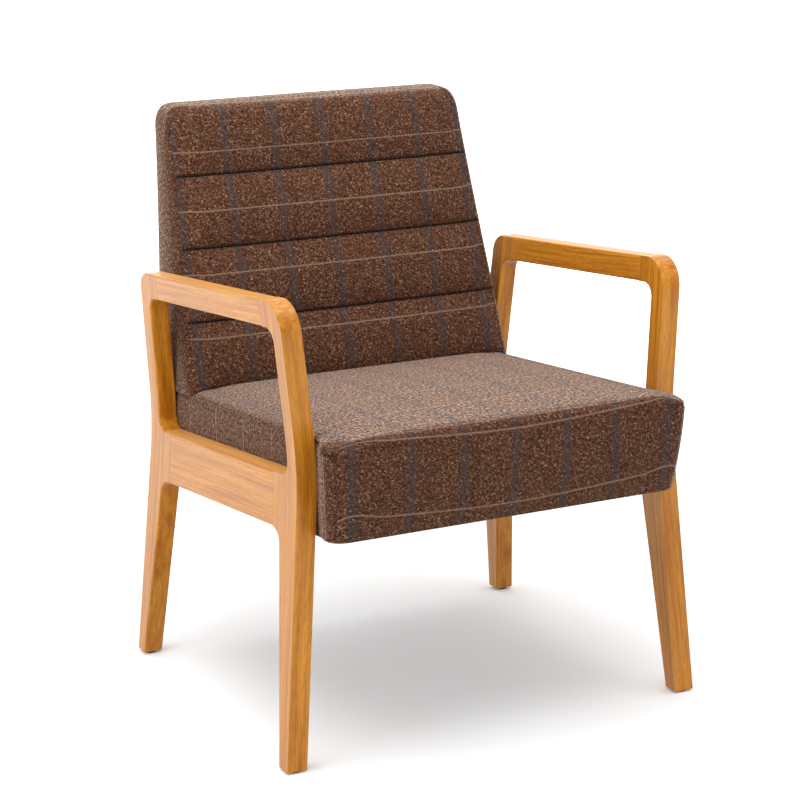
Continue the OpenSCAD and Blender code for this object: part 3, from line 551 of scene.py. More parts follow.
# Wool tweed
def tweed_material(name, t):
    """Woollen tweed, woven from heathered yarns, milled and brushed: flecks of rust,
    moss, cream and near black merge into brown, a blue stripe and a pale line are
    woven in as an overcheck. Painted shade darkens the wool between its strands and
    by the seams, a painted highlight pales the strands' tops, and a painted sheen for
    the nap pales the cloth at a slant. Its yarns are drawn coarser than the real ones
    of about a millimetre, so that they show."""
    material, tree = new_material(name)
    cloth = add(tree, "ShaderNodeUVMap", uv_map="cloth")
    check = add(tree, "ShaderNodeSeparateXYZ",
        {"Vector": add(tree, "ShaderNodeUVMap", uv_map="check")})
    dark, ground, rust, moss, pale = (
        tuple(c) for c in (t.dark, t.ground, t.rust, t.moss, t.pale))
    fleck_drift, ragged_edge = 0.0012, 0.0022
    long_fleck = 0.55
    drift_often, slubs_often = 500.0, 240.0

    # Flecks, long and short, drawn out along the yarns of both directions
    drift = add(tree, "ShaderNodeTexNoise",
        {"Vector": cloth, "Scale": drift_often, "Detail": 2.0})
    moved = add(tree, "ShaderNodeVectorMath",
        {0: drift.outputs["Color"], 1: (fleck_drift, fleck_drift, 0.0)}, operation="MULTIPLY")
    pushed = add(tree, "ShaderNodeVectorMath", {0: moved, 1: cloth}, operation="ADD")
    tones = []
    for stretch, places, wools in (
        ((long_fleck, 1.0, 0.0), (0.0, 0.25, 0.52, 0.75, 1.0), (dark, ground, ground, rust, pale)),
        ((1.0, long_fleck, 0.0), (0.0, 0.3, 0.55, 0.8, 1.0), (dark, ground, moss, ground, pale)),
    ):
        drawn = add(tree, "ShaderNodeVectorMath", {0: pushed, 1: stretch}, operation="MULTIPLY")
        cell = add(tree, "ShaderNodeTexVoronoi", {"Vector": drawn, "Scale": 1 / t.fleck},
            voronoi_dimensions="2D")
        drawn_lot = add(tree, "ShaderNodeSeparateColor", {"Color": cell.outputs["Color"]})
        tones.append(add(tree, "ShaderNodeValToRGB", {"Fac": drawn_lot.outputs["Red"]},
            stops=list(zip(places, wools))))

    # Two-and-two twill: which of warp and weft lies on top
    counted = add(tree, "ShaderNodeVectorMath",
        {0: cloth, 1: (1 / t.yarn, 1 / t.yarn, 0.0)}, operation="MULTIPLY")
    warp_weft = add(tree, "ShaderNodeSeparateXYZ", {"Vector": counted})
    rib = add(tree, "ShaderNodeMath",
        {0: warp_weft.outputs["X"], 1: warp_weft.outputs["Y"]}, operation="ADD")
    twill = add(tree, "ShaderNodeMath",
        {0: add(tree, "ShaderNodeMath", {0: rib, 1: math.pi / 2}, operation="MULTIPLY")},
        operation="SINE")
    over = add(tree, "ShaderNodeMapRange", {"Value": twill, "From Min": -0.4, "From Max": 0.4})
    yarns = add(tree, "ShaderNodeMix", {"Factor": over, "A": tones[0], "B": tones[1]},
        data_type="RGBA")
    strands = add(tree, "ShaderNodeTexNoise",
        {"Vector": cloth, "Scale": 1 / t.yarn, "Detail": 3.0, "Roughness": 0.7})
    # Painted shade and highlight: between the strands the wool is painted dark and warm,
    # on top of them pale and greyer. As a vector, the node's inputs are 6 the value, 7 and
    # 8 its range, 9 and 10 the result's
    depth = add(tree, "ShaderNodeMapRange",
        {6: strands, 7: (0.39,) * 3, 8: (0.61,) * 3,
         9: (0.14, 0.08, 0.04), 10: (1.78, 1.97, 2.06)}, data_type="FLOAT_VECTOR")
    # Thick and thin places of the yarns, a few threads across
    slubs = add(tree, "ShaderNodeMapRange",
        {"Value": add(tree, "ShaderNodeTexNoise",
            {"Vector": cloth, "Scale": slubs_often, "Detail": 1.0}),
         "From Min": 0.3, "From Max": 0.7, "To Min": 0.5, "To Max": 1.5})
    painted_strand_shade_and_slubs = add(tree, "ShaderNodeVectorMath", {0: depth.outputs["Vector"], 1: slubs},
        operation="MULTIPLY")
    heather = add(tree, "ShaderNodeMix", {"Factor": 1.0, "A": yarns, "B": painted_strand_shade_and_slubs},
        data_type="RGBA", blend_type="MULTIPLY")

    # The overcheck: stripes up the cloth and lines across it, with ragged edges
    ragged = add(tree, "ShaderNodeMapRange",
        {"Value": strands, "To Min": -ragged_edge, "To Max": ragged_edge})
    bands = []
    for axis, pitch, width, share in (
        ("X", t.stripe_pitch, t.stripe_width, t.stripe_share),
        ("Y", t.line_pitch, t.line_width, t.line_share),
    ):
        moved = add(tree, "ShaderNodeMath", {0: check.outputs[axis], 1: ragged}, operation="ADD")
        away = add(tree, "ShaderNodeMath", {0: moved, 1: pitch / 2}, operation="PINGPONG")
        bands.append(add(tree, "ShaderNodeMapRange",
            {"Value": away, "From Min": width * 0.3, "From Max": width * 0.7,
             "To Min": share, "To Max": 0.0}))
    speckle = add(tree, "ShaderNodeMapRange", {"Value": over, "To Min": 1.0, "To Max": 0.1})
    blue = add(tree, "ShaderNodeMath", {0: bands[0], 1: speckle}, operation="MULTIPLY")
    striped = add(tree, "ShaderNodeMix", {"Factor": blue, "A": heather, "B": t.stripe},
        data_type="RGBA")
    lined = add(tree, "ShaderNodeMix", {"Factor": bands[1], "A": striped, "B": t.line},
        data_type="RGBA")

    # Painted shade: near the seams the cloth is painted darker, the more the deeper a seam is
    # drawn in
    near = add(tree, "ShaderNodeMapRange",
        {"Value": add(tree, "ShaderNodeAttribute", attribute_name="seam").outputs["Fac"],
         "From Min": 0.0, "From Max": 0.0065, "To Min": 0.8, "To Max": 0.0},
        interpolation_type="SMOOTHSTEP")
    seam = add(tree, "ShaderNodeMath",
        {0: near, 1: add(tree, "ShaderNodeAttribute", attribute_name="groove").outputs["Fac"]},
        operation="MULTIPLY")
    with_painted_seam_shade = add(tree, "ShaderNodeMix", {"Factor": seam, "A": lined, "B": t.dark},
        data_type="RGBA")
    raised = add(tree, "ShaderNodeMath",
        {0: add(tree, "ShaderNodeMath", {0: twill, 1: 0.25}, operation="MULTIPLY"), 1: strands},
        operation="ADD")
    bump = add(tree, "ShaderNodeBump", {"Strength": 1.0, "Distance": 0.0011, "Height": raised})

    # Painted sheen: where the cloth is seen at a slant a pale colour is added to it, bluer over
    # the stripes, for the light that the nap's tips catch
    slant = add(tree, "ShaderNodeMapRange",
        {"Value": add(tree, "ShaderNodeLayerWeight", {"Blend": 0.5}).outputs["Facing"],
         "From Min": 0.46, "From Max": 0.80}, interpolation_type="SMOOTHSTEP")
    tufts = add(tree, "ShaderNodeVectorMath", {0: painted_strand_shade_and_slubs, 1: slubs}, operation="MULTIPLY")
    dyed = add(tree, "ShaderNodeMix",
        {"Factor": add(tree, "ShaderNodeMath", {0: blue, 1: 0.5}, operation="MULTIPLY"),
         "A": t.nap_sheen, "B": t.stripe}, data_type="RGBA")
    painted_sheen = add(tree, "ShaderNodeMix", {"Factor": 1.0, "A": dyed, "B": tufts},
        data_type="RGBA", blend_type="MULTIPLY")
    wool_with_painted_sheen = add(tree, "ShaderNodeMix", {"Factor": slant, "A": with_painted_seam_shade, "B": painted_sheen},
        data_type="RGBA", blend_type="ADD")
    finish_material(tree, {"Base Color": wool_with_painted_sheen, "Roughness": 0.95, "Normal": bump,
        "Specular IOR Level": 0.15, "Sheen Weight": t.sheen, "Sheen Roughness": 0.5,
        "Sheen Tint": t.nap_sheen})
    return material


# Cushions
# All in metres: points this near a seam are held while the filling presses the cloth out,
# the flecks of two panels start this far apart, and no corner is rounded by less
STITCHED = 0.0008
PANELS_APART = 1.0
LEAST_RADIUS = 0.001


def gathered(count):
    """Shares from 0 to 1, closer set toward both ends."""
    t = np.arange(count + 1) / count
    return t - 0.5 * np.sin(2 * math.pi * t) / (2 * math.pi)


def side_points(start, end, first_radius, last_radius, count):
    """One side of a rounded plan, from the middle of one corner to that of the next."""
    along = (end - start) / np.linalg.norm(end - start)
    inward = np.array([-along[1], along[0]])
    turns = np.radians(np.linspace(45, 0, 10))
    first = [start + first_radius * ((1 - math.sin(a)) * along + (1 - math.cos(a)) * inward)
        for a in turns]
    last = [end + last_radius * ((math.sin(a) - 1) * along + (1 - math.cos(a)) * inward)
        for a in turns[::-1]]
    path = np.array(first + last)
    run = np.concatenate([[0], np.cumsum(np.linalg.norm(np.diff(path, axis=0), axis=1))])
    at = gathered(count)[:-1] * run[-1]
    return np.stack([np.interp(at, run, path[:, k]) for k in range(2)], axis=1)


def rounded_plan(half, front, rear, front_radius, rear_radius, counts):
    """A rounded plan in four sides: front, right, rear and left, each to the next's start."""
    corners = [np.array(c) for c in ((-half, front), (half, front), (half, rear), (-half, rear))]
    radii = (front_radius, front_radius, rear_radius, rear_radius)
    return np.concatenate([
        side_points(corners[i], corners[(i + 1) % 4], radii[i], radii[(i + 1) % 4], counts[i % 2])
        for i in range(4)])


def cap_plan(loop, counts):
    """A grid of points that fills a plan of four sides."""
    nx, ny = counts
    closed = np.concatenate([loop, loop[:1]])
    low, right = closed[: nx + 1], closed[nx : nx + ny + 1]
    high, left = closed[nx + ny : 2 * nx + ny + 1][::-1], closed[2 * nx + ny :][::-1]
    u, v = gathered(nx)[:, None, None], gathered(ny)[None, :, None]
    ruled = (1 - v) * low[:, None] + v * high[:, None] + (1 - u) * left[None] + u * right[None]
    return ruled - ((1 - u) * (1 - v) * low[0] + u * (1 - v) * low[-1]
        + (1 - u) * v * high[0] + u * v * high[-1])


class Shell:
    """A closed cushion form: rings of points joined by walls, and a grid at each end. Every
    face keeps the name of the panel of cloth that it is cut from."""

    def __init__(self, rings, caps, counts, panel_of):
        nx, ny = counts
        ring_n = 2 * (nx + ny)
        points = [p for ring in rings for p in ring]
        faces, panels = [], []
        for r in range(len(rings) - 1):
            for c in range(ring_n):
                a, b = r * ring_n + c, r * ring_n + (c + 1) % ring_n
                faces.append((a, b, b + ring_n, a + ring_n))
                panels.append(panel_of(r, c))
        for cap, base, turned, word in ((caps[0], 0, True, "under"),
                (caps[1], (len(rings) - 1) * ring_n, False, "top")):
            index = {}
            for i in range(nx + 1):
                for j in range(ny + 1):
                    if j == 0:
                        index[i, j] = base + i
                    elif i == nx:
                        index[i, j] = base + nx + j
                    elif j == ny:
                        index[i, j] = base + nx + ny + (nx - i)
                    elif i == 0:
                        index[i, j] = base + 2 * nx + ny + (ny - j)
                    else:
                        index[i, j] = len(points)
                        points.append(cap[i, j])
            for i in range(nx):
                for j in range(ny):
                    face = (index[i, j], index[i + 1, j], index[i + 1, j + 1], index[i, j + 1])
                    faces.append(face[::-1] if turned else face)
                    panels.append(panel_of(word, (i, j)))
        self.points, self.faces, self.panels = np.array(points), faces, panels
        self.ring_n, self.ring_count = ring_n, len(rings)

    def ring(self, r):
        return [r * self.ring_n + c for c in range(self.ring_n)]

    def column(self, c, first, last):
        return [r * self.ring_n + c % self.ring_n for r in range(first, last + 1)]


def dense(path, step=0.0012):
    """Points along a line of points, at most a step apart."""
    out = []
    for a, b in zip(path[:-1], path[1:]):
        n = max(1, int(np.linalg.norm(b - a) / step))
        out += [a + (b - a) * k / n for k in range(n)]
    return np.array(out + [path[-1]])


def distance_to(points, paths):
    """Distance of each point to the nearest of the lines of points."""
    marks = np.concatenate([dense(p) for p in paths])
    tree = KDTree(len(marks))
    for i, m in enumerate(marks):
        tree.insert(Vector(m), i)
    tree.balance()
    return np.array([tree.find(Vector(p))[2] for p in points])


def inflate(piece, sizes, held, room):
    """The filling presses the cloth out: a cloth simulation from the cushion's own form.
    held marks the stitched points, and no point moves further than its room."""
    steps = 20
    before = np.array([v.co for v in piece.data.vertices])
    pins = piece.vertex_groups.new(name="stitched")
    for i, share in enumerate(held):
        if share > 0:
            pins.add([i], float(share), "REPLACE")
    cloth = piece.modifiers.new("filling", "CLOTH")
    settings = cloth.settings
    settings.quality, settings.mass = 5, 0.3
    settings.tension_stiffness = settings.compression_stiffness = 25.0
    settings.shear_stiffness, settings.bending_stiffness = 8.0, 1.5
    settings.use_pressure, settings.uniform_pressure_force = True, sizes.pressure
    settings.effector_weights.gravity = 0.0
    settings.vertex_group_mass = "stitched"
    cloth.collision_settings.use_collision = False
    scene = bpy.context.scene
    for step in range(1, steps + 1):
        scene.frame_set(step)
    graph = bpy.context.evaluated_depsgraph_get()
    after = np.array([v.co for v in piece.evaluated_get(graph).data.vertices])
    piece.modifiers.remove(cloth)
    piece.vertex_groups.remove(pins)
    scene.frame_set(1)
    # Only the swelling counts: the cloth's creep along itself would crease it
    outward = np.array([v.normal for v in piece.data.vertices])
    size = np.maximum(np.sum((after - before) * outward, axis=1), 0)
    reach = room * (1 - np.exp(-size / np.maximum(room, 1e-6)))
    placed = before + outward * reach[:, None]
    piece.data.vertices.foreach_set("co", placed.ravel())


def values_at_points(mesh, name):
    """The values of an attribute at the points of a mesh."""
    values = np.empty(len(mesh.vertices))
    mesh.attributes[name].data.foreach_get("value", values)
    return values


def dress(piece, groove, width):
    """Smooths a cushion once and draws its seams in: a groove along the seam lines."""
    piece.data.shade_smooth()
    finer = piece.modifiers.new("smooth", "SUBSURF")
    finer.levels = finer.render_levels = 1
    finer.uv_smooth = "NONE"
    settle(piece)
    mesh = piece.data
    co, normal = np.empty(3 * len(mesh.vertices)), np.empty(3 * len(mesh.vertices))
    mesh.vertices.foreach_get("co", co)
    mesh.vertices.foreach_get("normal", normal)
    seam, depth = values_at_points(mesh, "seam"), values_at_points(mesh, "groove")
    drop = groove * depth * np.exp(-((seam / width) ** 2))
    co = co.reshape(-1, 3) - normal.reshape(-1, 3) * drop[:, None]
    mesh.vertices.foreach_set("co", co.ravel())
    mesh.update()


def cushion_mesh(name, shell, world, cloth_uv, seams, depths, farther=1.0):
    """The shell as a mesh in the row frame with its two maps: cloth, in metres on each
    panel, and check, in metres from a stripe and from a line of the overcheck. Where
    farther is above 1, a seam's shadow ends sooner."""
    mesh = bpy.data.meshes.new(name)
    mesh.from_pydata([world(p) for p in shell.points], [], shell.faces)
    cloth, check = mesh.uv_layers.new(name="cloth"), mesh.uv_layers.new(name="check")
    spots, bands = np.empty((len(mesh.loops), 2)), np.empty((len(mesh.loops), 2))
    for f, panel in zip(mesh.polygons, shell.panels):
        for k in f.loop_indices:
            spots[k], bands[k] = cloth_uv(panel, mesh.loops[k].vertex_index)
    cloth.data.foreach_set("uv", spots.ravel())
    check.data.foreach_set("uv", bands.ravel())
    near = distance_to([v.co for v in mesh.vertices], seams) * farther
    mesh.attributes.new("seam", "FLOAT", "POINT").data.foreach_set("value", near)
    # The groove sets how deep a seam is drawn in and also how dark its painted shade is
    mesh.attributes.new("groove", "FLOAT", "POINT").data.foreach_set("value", depths)
    return mesh


class SeatForm:
    """The seat's cushion in its own frame: x across, y along the seat and z square to it."""

    counts = (76, 80)
    # How far the changes of form reach: from the front, and for a corner also inward
    swell_reach, cheek_reach, corner_reach, corner_width = 0.090, 0.028, 0.052, 0.046
    # Belly of the front panel and hollow of the sides, between foot and seam
    front_belly, side_belly, seam_inset = 0.003, 0.0008, 0.0006
    # The crown falls away toward the edges by a power, and under the back by shares of the
    # free depth
    crown_power, crown_to, crown_fade = 2.5, 0.55, 0.42
    # Rings of points: the turned-under foot, heights up the side, turns of the top's roll
    foot_rings = (0.0030, 0.0, 0.0), (0.0009, 0.0009, 0.0)
    foot_height, foot_room, edge = 0.004, 0.0002, 0.002
    side_heights = (0.0032, 0.009, 0.018, 0.030, 0.044, 0.058, 0.072, 0.085, 0.097, 0.107,
        0.115, 0.1205, 0.1245, 0.1265)
    roll_turns = (8, 17, 27, 38, 49, 60, 70, 80, 90)
    # Room for the cloth to rise, least and how much more: on the top and on the sides
    top_room, side_room, beside_room = (0.0008, 0.0042), (0.0006, 0.0022), 0.0012
    rise_reach, back_from, back_fade, beside_reach = 0.16, 0.44, 0.02, 0.004

    def __init__(self, s, front):
        self.s, self.front = s, front
        self.top = s.seat_side + s.seat_roll

    def plan(self, inset, more_at_sides):
        s = self.s
        return rounded_plan(s.seat_half - inset - more_at_sides, inset, s.seat_depth - inset,
            max(s.seat_corner - inset, LEAST_RADIUS),
            max(s.seat_rear_corner - inset, LEAST_RADIUS), self.counts)

    def swell(self, p):
        """The block's point moved out with the front panel and the cheeks ahead of the
        front legs, or down with the front's sunk corners."""
        s = self.s
        rise = min(max(p[2] / s.seat_side, 0), 1)
        ahead = 1 - ease(p[1] / self.swell_reach)
        cheek = 1 - ease((p[1] - self.cheek_reach) / self.cheek_reach)
        outer = ease(4 * abs(p[0]) / s.seat_half - 3)
        wider = s.cheek_swell * cheek * outer * (1 + 2 * rise) / 3
        corner = ease((abs(p[0]) - s.seat_half) / self.corner_width + 1) * (
            1 - ease(p[1] / self.corner_reach))
        return np.array([p[0] + math.copysign(wider, p[0]),
            p[1] - (s.nose_swell * rise + self.front_belly * math.sin(math.pi * rise)) * ahead,
            p[2] - s.corner_sink * corner * rise])

    def crown(self, share, y):
        """Rise of the top at a share of the way from its middle to its edge."""
        free = self.s.free_depth
        return self.s.seat_crown * (1 - min(share, 1) ** self.crown_power) * (
            1 - ease((y - self.crown_to * free) / (self.crown_fade * free)))

    def world(self, p):
        q, s = self.swell(p), self.s
        c, n = math.cos(s.seat_tilt), math.sin(s.seat_tilt)
        low = s.seat_front_low
        return (q[0], self.front + low[0] + q[1] * c + q[2] * n, low[1] - q[1] * n + q[2] * c)

    def shell(self):
        s = self.s
        h = s.seat_side
        # Each ring's inset, its height and how much further in its sides lie
        levels = [*self.foot_rings]
        for z in self.side_heights:
            levels.append((-self.side_belly * (1 - abs(2 * (z / h) - 1) ** 3), z, 0.0))
        self.seam_ring = len(levels)
        levels.append((self.seam_inset, h, 0.0))
        for degrees in self.roll_turns:
            turn = math.radians(degrees)
            levels.append((s.seat_roll * (1 - math.cos(turn)), h + s.seat_roll * math.sin(turn),
                (s.seat_side_roll - s.seat_roll) * (1 - math.cos(turn))))
        self.plans = [self.plan(inset, more) for inset, z, more in levels]
        rings = [[np.array([*p, z]) for p in plan]
            for plan, (inset, z, more) in zip(self.plans, levels)]
        under = cap_plan(self.plans[0], self.counts)
        over = cap_plan(self.plans[-1], self.counts)
        nx, ny = self.counts
        low_cap, top_cap = np.zeros((nx + 1, ny + 1, 3)), np.zeros((nx + 1, ny + 1, 3))
        for i in range(nx + 1):
            for j in range(ny + 1):
                x, y = over[i, j]
                across = abs(x) / (s.seat_half - s.seat_side_roll)
                along = abs(2 * y / s.seat_depth - 1)
                share = (across ** 6 + along ** 6) ** (1 / 6)
                top_cap[i, j] = (x, y, self.top + self.crown(share, y))
                low_cap[i, j] = (*under[i, j], 0.0)
        return Shell(rings, (low_cap, top_cap), self.counts, self.panel)

    def panel(self, r, c):
        """The top and the front are one panel; the boxing of the other sides is joined in
        the middle of the rear."""
        nx, ny = self.counts
        if r == "under":
            return "under"
        if r == "top" or r >= self.seam_ring or c < nx:
            return "top"
        return "right boxing" if c < nx + ny + nx // 2 else "left boxing"

    def room(self, points):
        """How far the filling may press each point out: on top most of all far from the
        edges, with next to nothing over the front, and less beside the side frames."""
        s = self.s
        height = points[:, 2]
        from_front = np.clip((points[:, 1] - s.seat_roll) / self.rise_reach, 0, 1)
        under_back = np.clip((points[:, 1] - self.back_from) / self.back_fade, 0, 1)
        out = np.abs(points[:, 0]) - s.seat_half
        beside = np.clip((out + self.beside_reach) / self.beside_reach, 0, 1)
        up = np.clip(height / s.seat_side, 0, 1)
        on_top = self.top_room[0] + self.top_room[1] * from_front * (1 - under_back)
        on_side = self.side_room[0] + self.side_room[1] * np.sin(math.pi * up)
        free = np.where(height > self.top - self.edge, on_top, on_side)
        return np.where(height < self.foot_height, self.foot_room,
            free * (1 - beside) + self.beside_room * beside)


class BackForm:
    """The back's cushion in the side view's frame: x across, y to the rear and z up."""

    counts = (76, 16)
    # Bow of the front from side to side, fade of the channels toward the sides, gap between
    # the back and the seat, and share of the seat's rolled edge that counts as its outermost
    front_bow, puff_fade, seat_gap, outermost = 0.004, 0.026, 0.0008, 0.04
    # Powers that shape the sides' narrowing toward the top and the fullness of a channel
    side_power, puff_power = 1.3, 0.6
    # Rings of points: close together beside a seam, even between, turns of the top's roll
    beside_seam, inner_from, inner_count = (0.0, 0.0013, 0.0035, 0.0075, 0.0135), 0.0215, 8
    roll_turns, crest_turn = (0, 11, 22, 34, 46, 58, 70, 80, 90), 46
    top_puff_share = 0.55
    # Room for the cloth to rise: least, and how much more above the seat
    least_room, more_room, rise_from, rise_reach = 0.0003, 0.0028, 0.425, 0.05

    def __init__(self, s, seat):
        self.s, self.seat = s, seat
        c, n = math.cos(s.seat_tilt), math.sin(s.seat_tilt)
        y, z = s.seat_front_low
        foot = y - s.nose_swell * c + s.seat_side * n + s.free_depth
        self.foot = np.array([foot, z + seat.top * c - (foot - y - seat.top * n) * n / c])
        self.hinge = np.array([y + s.seat_depth * c + s.seat_side * n,
            z - s.seat_depth * n + s.seat_side * c])
        low = s.chair_height - s.top_channel
        self.seams = [low - 2 * s.channel, low - s.channel, low]
        self.rows = [self.foot[1], *self.seams, s.chair_height - s.back_roll]

    def front_y(self, z):
        return self.foot[0] + (z - self.foot[1]) * math.tan(self.s.back_lean)

    def rear_y(self, z):
        return self.hinge[0] + (z - self.hinge[1]) * math.tan(self.s.back_rear_lean)

    def half(self, z):
        s = self.s
        share = max((s.chair_height - z) / (s.chair_height - self.foot[1]), 0)
        widest = s.seat_half + s.back_foot_reach
        return s.back_top_half + (widest - s.back_top_half) * share ** self.side_power

    def under(self, x, y):
        """Height of the seat's top where the back stands on it."""
        s, seat = self.s, self.seat
        c, n = math.cos(s.seat_tilt), math.sin(s.seat_tilt)
        along = (y - s.seat_front_low[0] - seat.top * n) / c
        inside = min((s.seat_half - abs(x)) / s.seat_side_roll,
            (s.seat_depth - along) / s.seat_roll)
        rise = s.seat_roll * math.sqrt(1 - (1 - min(max(inside, self.outermost), 1)) ** 2)
        return s.seat_front_low[1] - along * n + (s.seat_side + rise) * c + self.seat_gap

    def ring(self, z, inset, puff):
        """The outline at a height, let down at the foot to stand on the seat's top."""
        s = self.s
        up = min(max((z - s.chair_height) / s.back_shoulder_height + 1, 0), 1)
        half = self.half(z) + inset - s.back_shoulder_in * (1 - math.sqrt(1 - up * up))
        front, rear = self.front_y(z), self.rear_y(z)
        flat = half - s.back_edge
        plan = rounded_plan(half - inset, front + inset, rear - inset,
            max(s.back_edge - inset, LEAST_RADIUS), max(s.back_corner - inset, LEAST_RADIUS),
            self.counts)
        hold = min(max((self.seams[0] - z) / (self.seams[0] - self.foot[1]), 0), 1)
        out = []
        for c, (x, y) in enumerate(plan):
            f = min(abs(x) / flat, 1)
            if c < self.counts[0]:
                fade = ease((f * flat - flat + self.puff_fade) / self.puff_fade)
                y -= self.front_bow * (1 - f * f) + puff * (1 - fade)
            out.append(np.array([x, y, z + (self.under(x, y) - self.foot[1]) * hold]))
        return out

    def puff(self, share):
        """Swell of a channel at a share of the way from seam to seam."""
        return self.s.channel_puff * (1 - abs(2 * share - 1) ** 3) ** self.puff_power

    def shell(self):
        s = self.s
        self.seam_rings, rings = [], []
        for k, (low, high) in enumerate(zip(self.rows[:-1], self.rows[1:])):
            tall, first, count = high - low, self.inner_from, self.inner_count
            # The top channel has a seam below only, and is fullest further up
            if high == self.rows[-1]:
                span, gaps, last, puff_share = tall - first, count, [], self.top_puff_share
            else:
                span, gaps, puff_share = tall - 2 * first, count - 1, 1
                last = [tall - e for e in self.beside_seam[:0:-1]]
            if k:
                self.seam_rings.append(len(rings))
            inner = [first + span * i / gaps for i in range(count)]
            for step in (*self.beside_seam, *inner, *last):
                rings.append(self.ring(low + step, 0.0, self.puff(step / tall * puff_share)))
        self.roll_ring = len(rings)
        self.crest_ring = self.roll_ring + self.roll_turns.index(self.crest_turn)
        for degrees in self.roll_turns:
            turn = math.radians(degrees)
            rings.append(self.ring(s.chair_height - s.back_roll * (1 - math.sin(turn)),
                s.back_roll * (1 - math.cos(turn)), s.channel_puff * math.cos(turn)))
        caps = []
        for ring in (rings[0], rings[-1]):
            flat = cap_plan(np.array([p[:2] for p in ring]), self.counts)
            z = ring[-1][2]
            caps.append(np.array([[(x, y, self.under(x, y) if ring is rings[0] else z)
                for x, y in row] for row in flat]))
        return Shell(rings, caps, self.counts, self.panel)

    def panel(self, r, c):
        """The front panel rolls over the top; boxings, rear panel and foot are their own."""
        nx, ny = self.counts
        if r in ("under", "top"):
            return r
        if c < nx:
            return "front"
        if nx + ny <= c < 2 * nx + ny:
            return "top" if r >= self.crest_ring else "rear"
        return "boxing"

    def room(self, points):
        """How far the filling may press each point out: next to nothing at the foot."""
        above_foot = np.clip((points[:, 2] - self.rise_from) / self.rise_reach, 0, 1)
        return self.least_room + self.more_room * above_foot


def rise_along(points, column):
    """Length of cloth along a column of points, up to each of them."""
    line = np.array([points[i] for i in column])
    return np.concatenate([[0], np.cumsum(np.linalg.norm(np.diff(line, axis=0), axis=1))])


class CHAIR_OT_seat_cushion(bpy.types.Operator):
    """Makes the seat's foam cushion in its tweed cover"""

    bl_idname = "chair.seat_cushion"
    bl_label = "Seat cushion"

    # Where a line lies behind the front feet, how much further on it lies on the boxing,
    # and how far the cloth's lines lie apart down the front, where it is stretched
    line_behind_feet, boxing_shift, front_stretch = 0.342, 0.010, 0.875
    # The seams are drawn in least, and how much more up at the top's front corners: how far
    # from the front that ends and how high it starts, each with its fade
    least_depth, more_depth = 0.2, 0.6
    deep_ahead, deep_above = (0.09, 0.03), (0.110, 0.012)

    def execute(self, context):
        settings = context.scene.chair
        s, t = settings.cushion, settings.tweed
        form = SeatForm(s, foot_front(settings.frame))
        shell = form.shell()
        nx, ny = form.counts
        n, last = shell.ring_n, shell.ring_count - 1
        world = np.array([form.world(p) for p in shell.points])
        drops = [rise_along(world, shell.column(c, 0, last)) for c in range(n)]
        seam_ring, top_edge = shell.ring(form.seam_ring), form.plans[-1]
        run = rise_along(world, seam_ring + seam_ring[:1])
        hidden = t.stripe_pitch / 2
        line_from = self.line_behind_feet - s.seat_front_low[0] - form.top * math.sin(s.seat_tilt)
        # The boxing is measured from the middle of each side
        right, left = nx + ny // 2, 2 * nx + ny + ny // 2
        right_from = shell.points[seam_ring[right]][1] - run[right]
        left_from = shell.points[seam_ring[left]][1] + run[left]

        def cloth_uv(panel, i):
            p = shell.points[i]
            if i >= n * shell.ring_count or panel == "under":
                u, v = p[0], p[1]
            elif panel == "top":
                r, c = divmod(i, n)
                down = drops[c][last] - drops[c][r]
                edge = top_edge[c]
                if c <= nx:
                    u, v = p[0], edge[1] - down
                elif nx + ny <= c <= 2 * nx + ny:
                    u, v = p[0], edge[1] + down
                else:
                    u, v = edge[0] + math.copysign(down, edge[0]), p[1]
            else:
                r, c = divmod(i, n)
                u = right_from + run[c] if panel == "right boxing" else left_from - run[c or n]
                return (u + PANELS_APART, drops[c][r]), (hidden, u - line_from - self.boxing_shift)
            return (u, v), (u - t.stripe_place,
                max(v, 0) + self.front_stretch * min(v, 0) - line_from)

        # The seams: round the top at the sides and rear, and down the front's corners
        first = len(form.foot_rings)
        paths = [world[seam_ring[nx:] + seam_ring[:1]],
            world[shell.column(0, first, form.seam_ring)],
            world[shell.column(nx, first, form.seam_ring)]]
        # The top seam is drawn in deepest round the corners ahead of the front legs
        (end, end_fade), (low, low_fade) = self.deep_ahead, self.deep_above
        ahead = np.clip((end - shell.points[:, 1]) / end_fade, 0, 1)
        high = np.clip((shell.points[:, 2] - low) / low_fade, 0, 1)
        depths = self.least_depth + self.more_depth * ahead * high
        mesh = cushion_mesh("seat_cushion", shell, form.world, cloth_uv, paths, depths)
        piece = link("seat_cushion", mesh, tweed_material("wool_tweed_seat", t))
        to_seam = values_at_points(mesh, "seam")
        held = np.where((to_seam < STITCHED) | (shell.points[:, 2] < form.edge), 1.0, 0.0)
        inflate(piece, s, held, form.room(shell.points))
        dress(piece, groove=0.0034, width=0.0020)
        place(piece, "tweed", "seat_cover", "seat_foam")
        return {"FINISHED"}


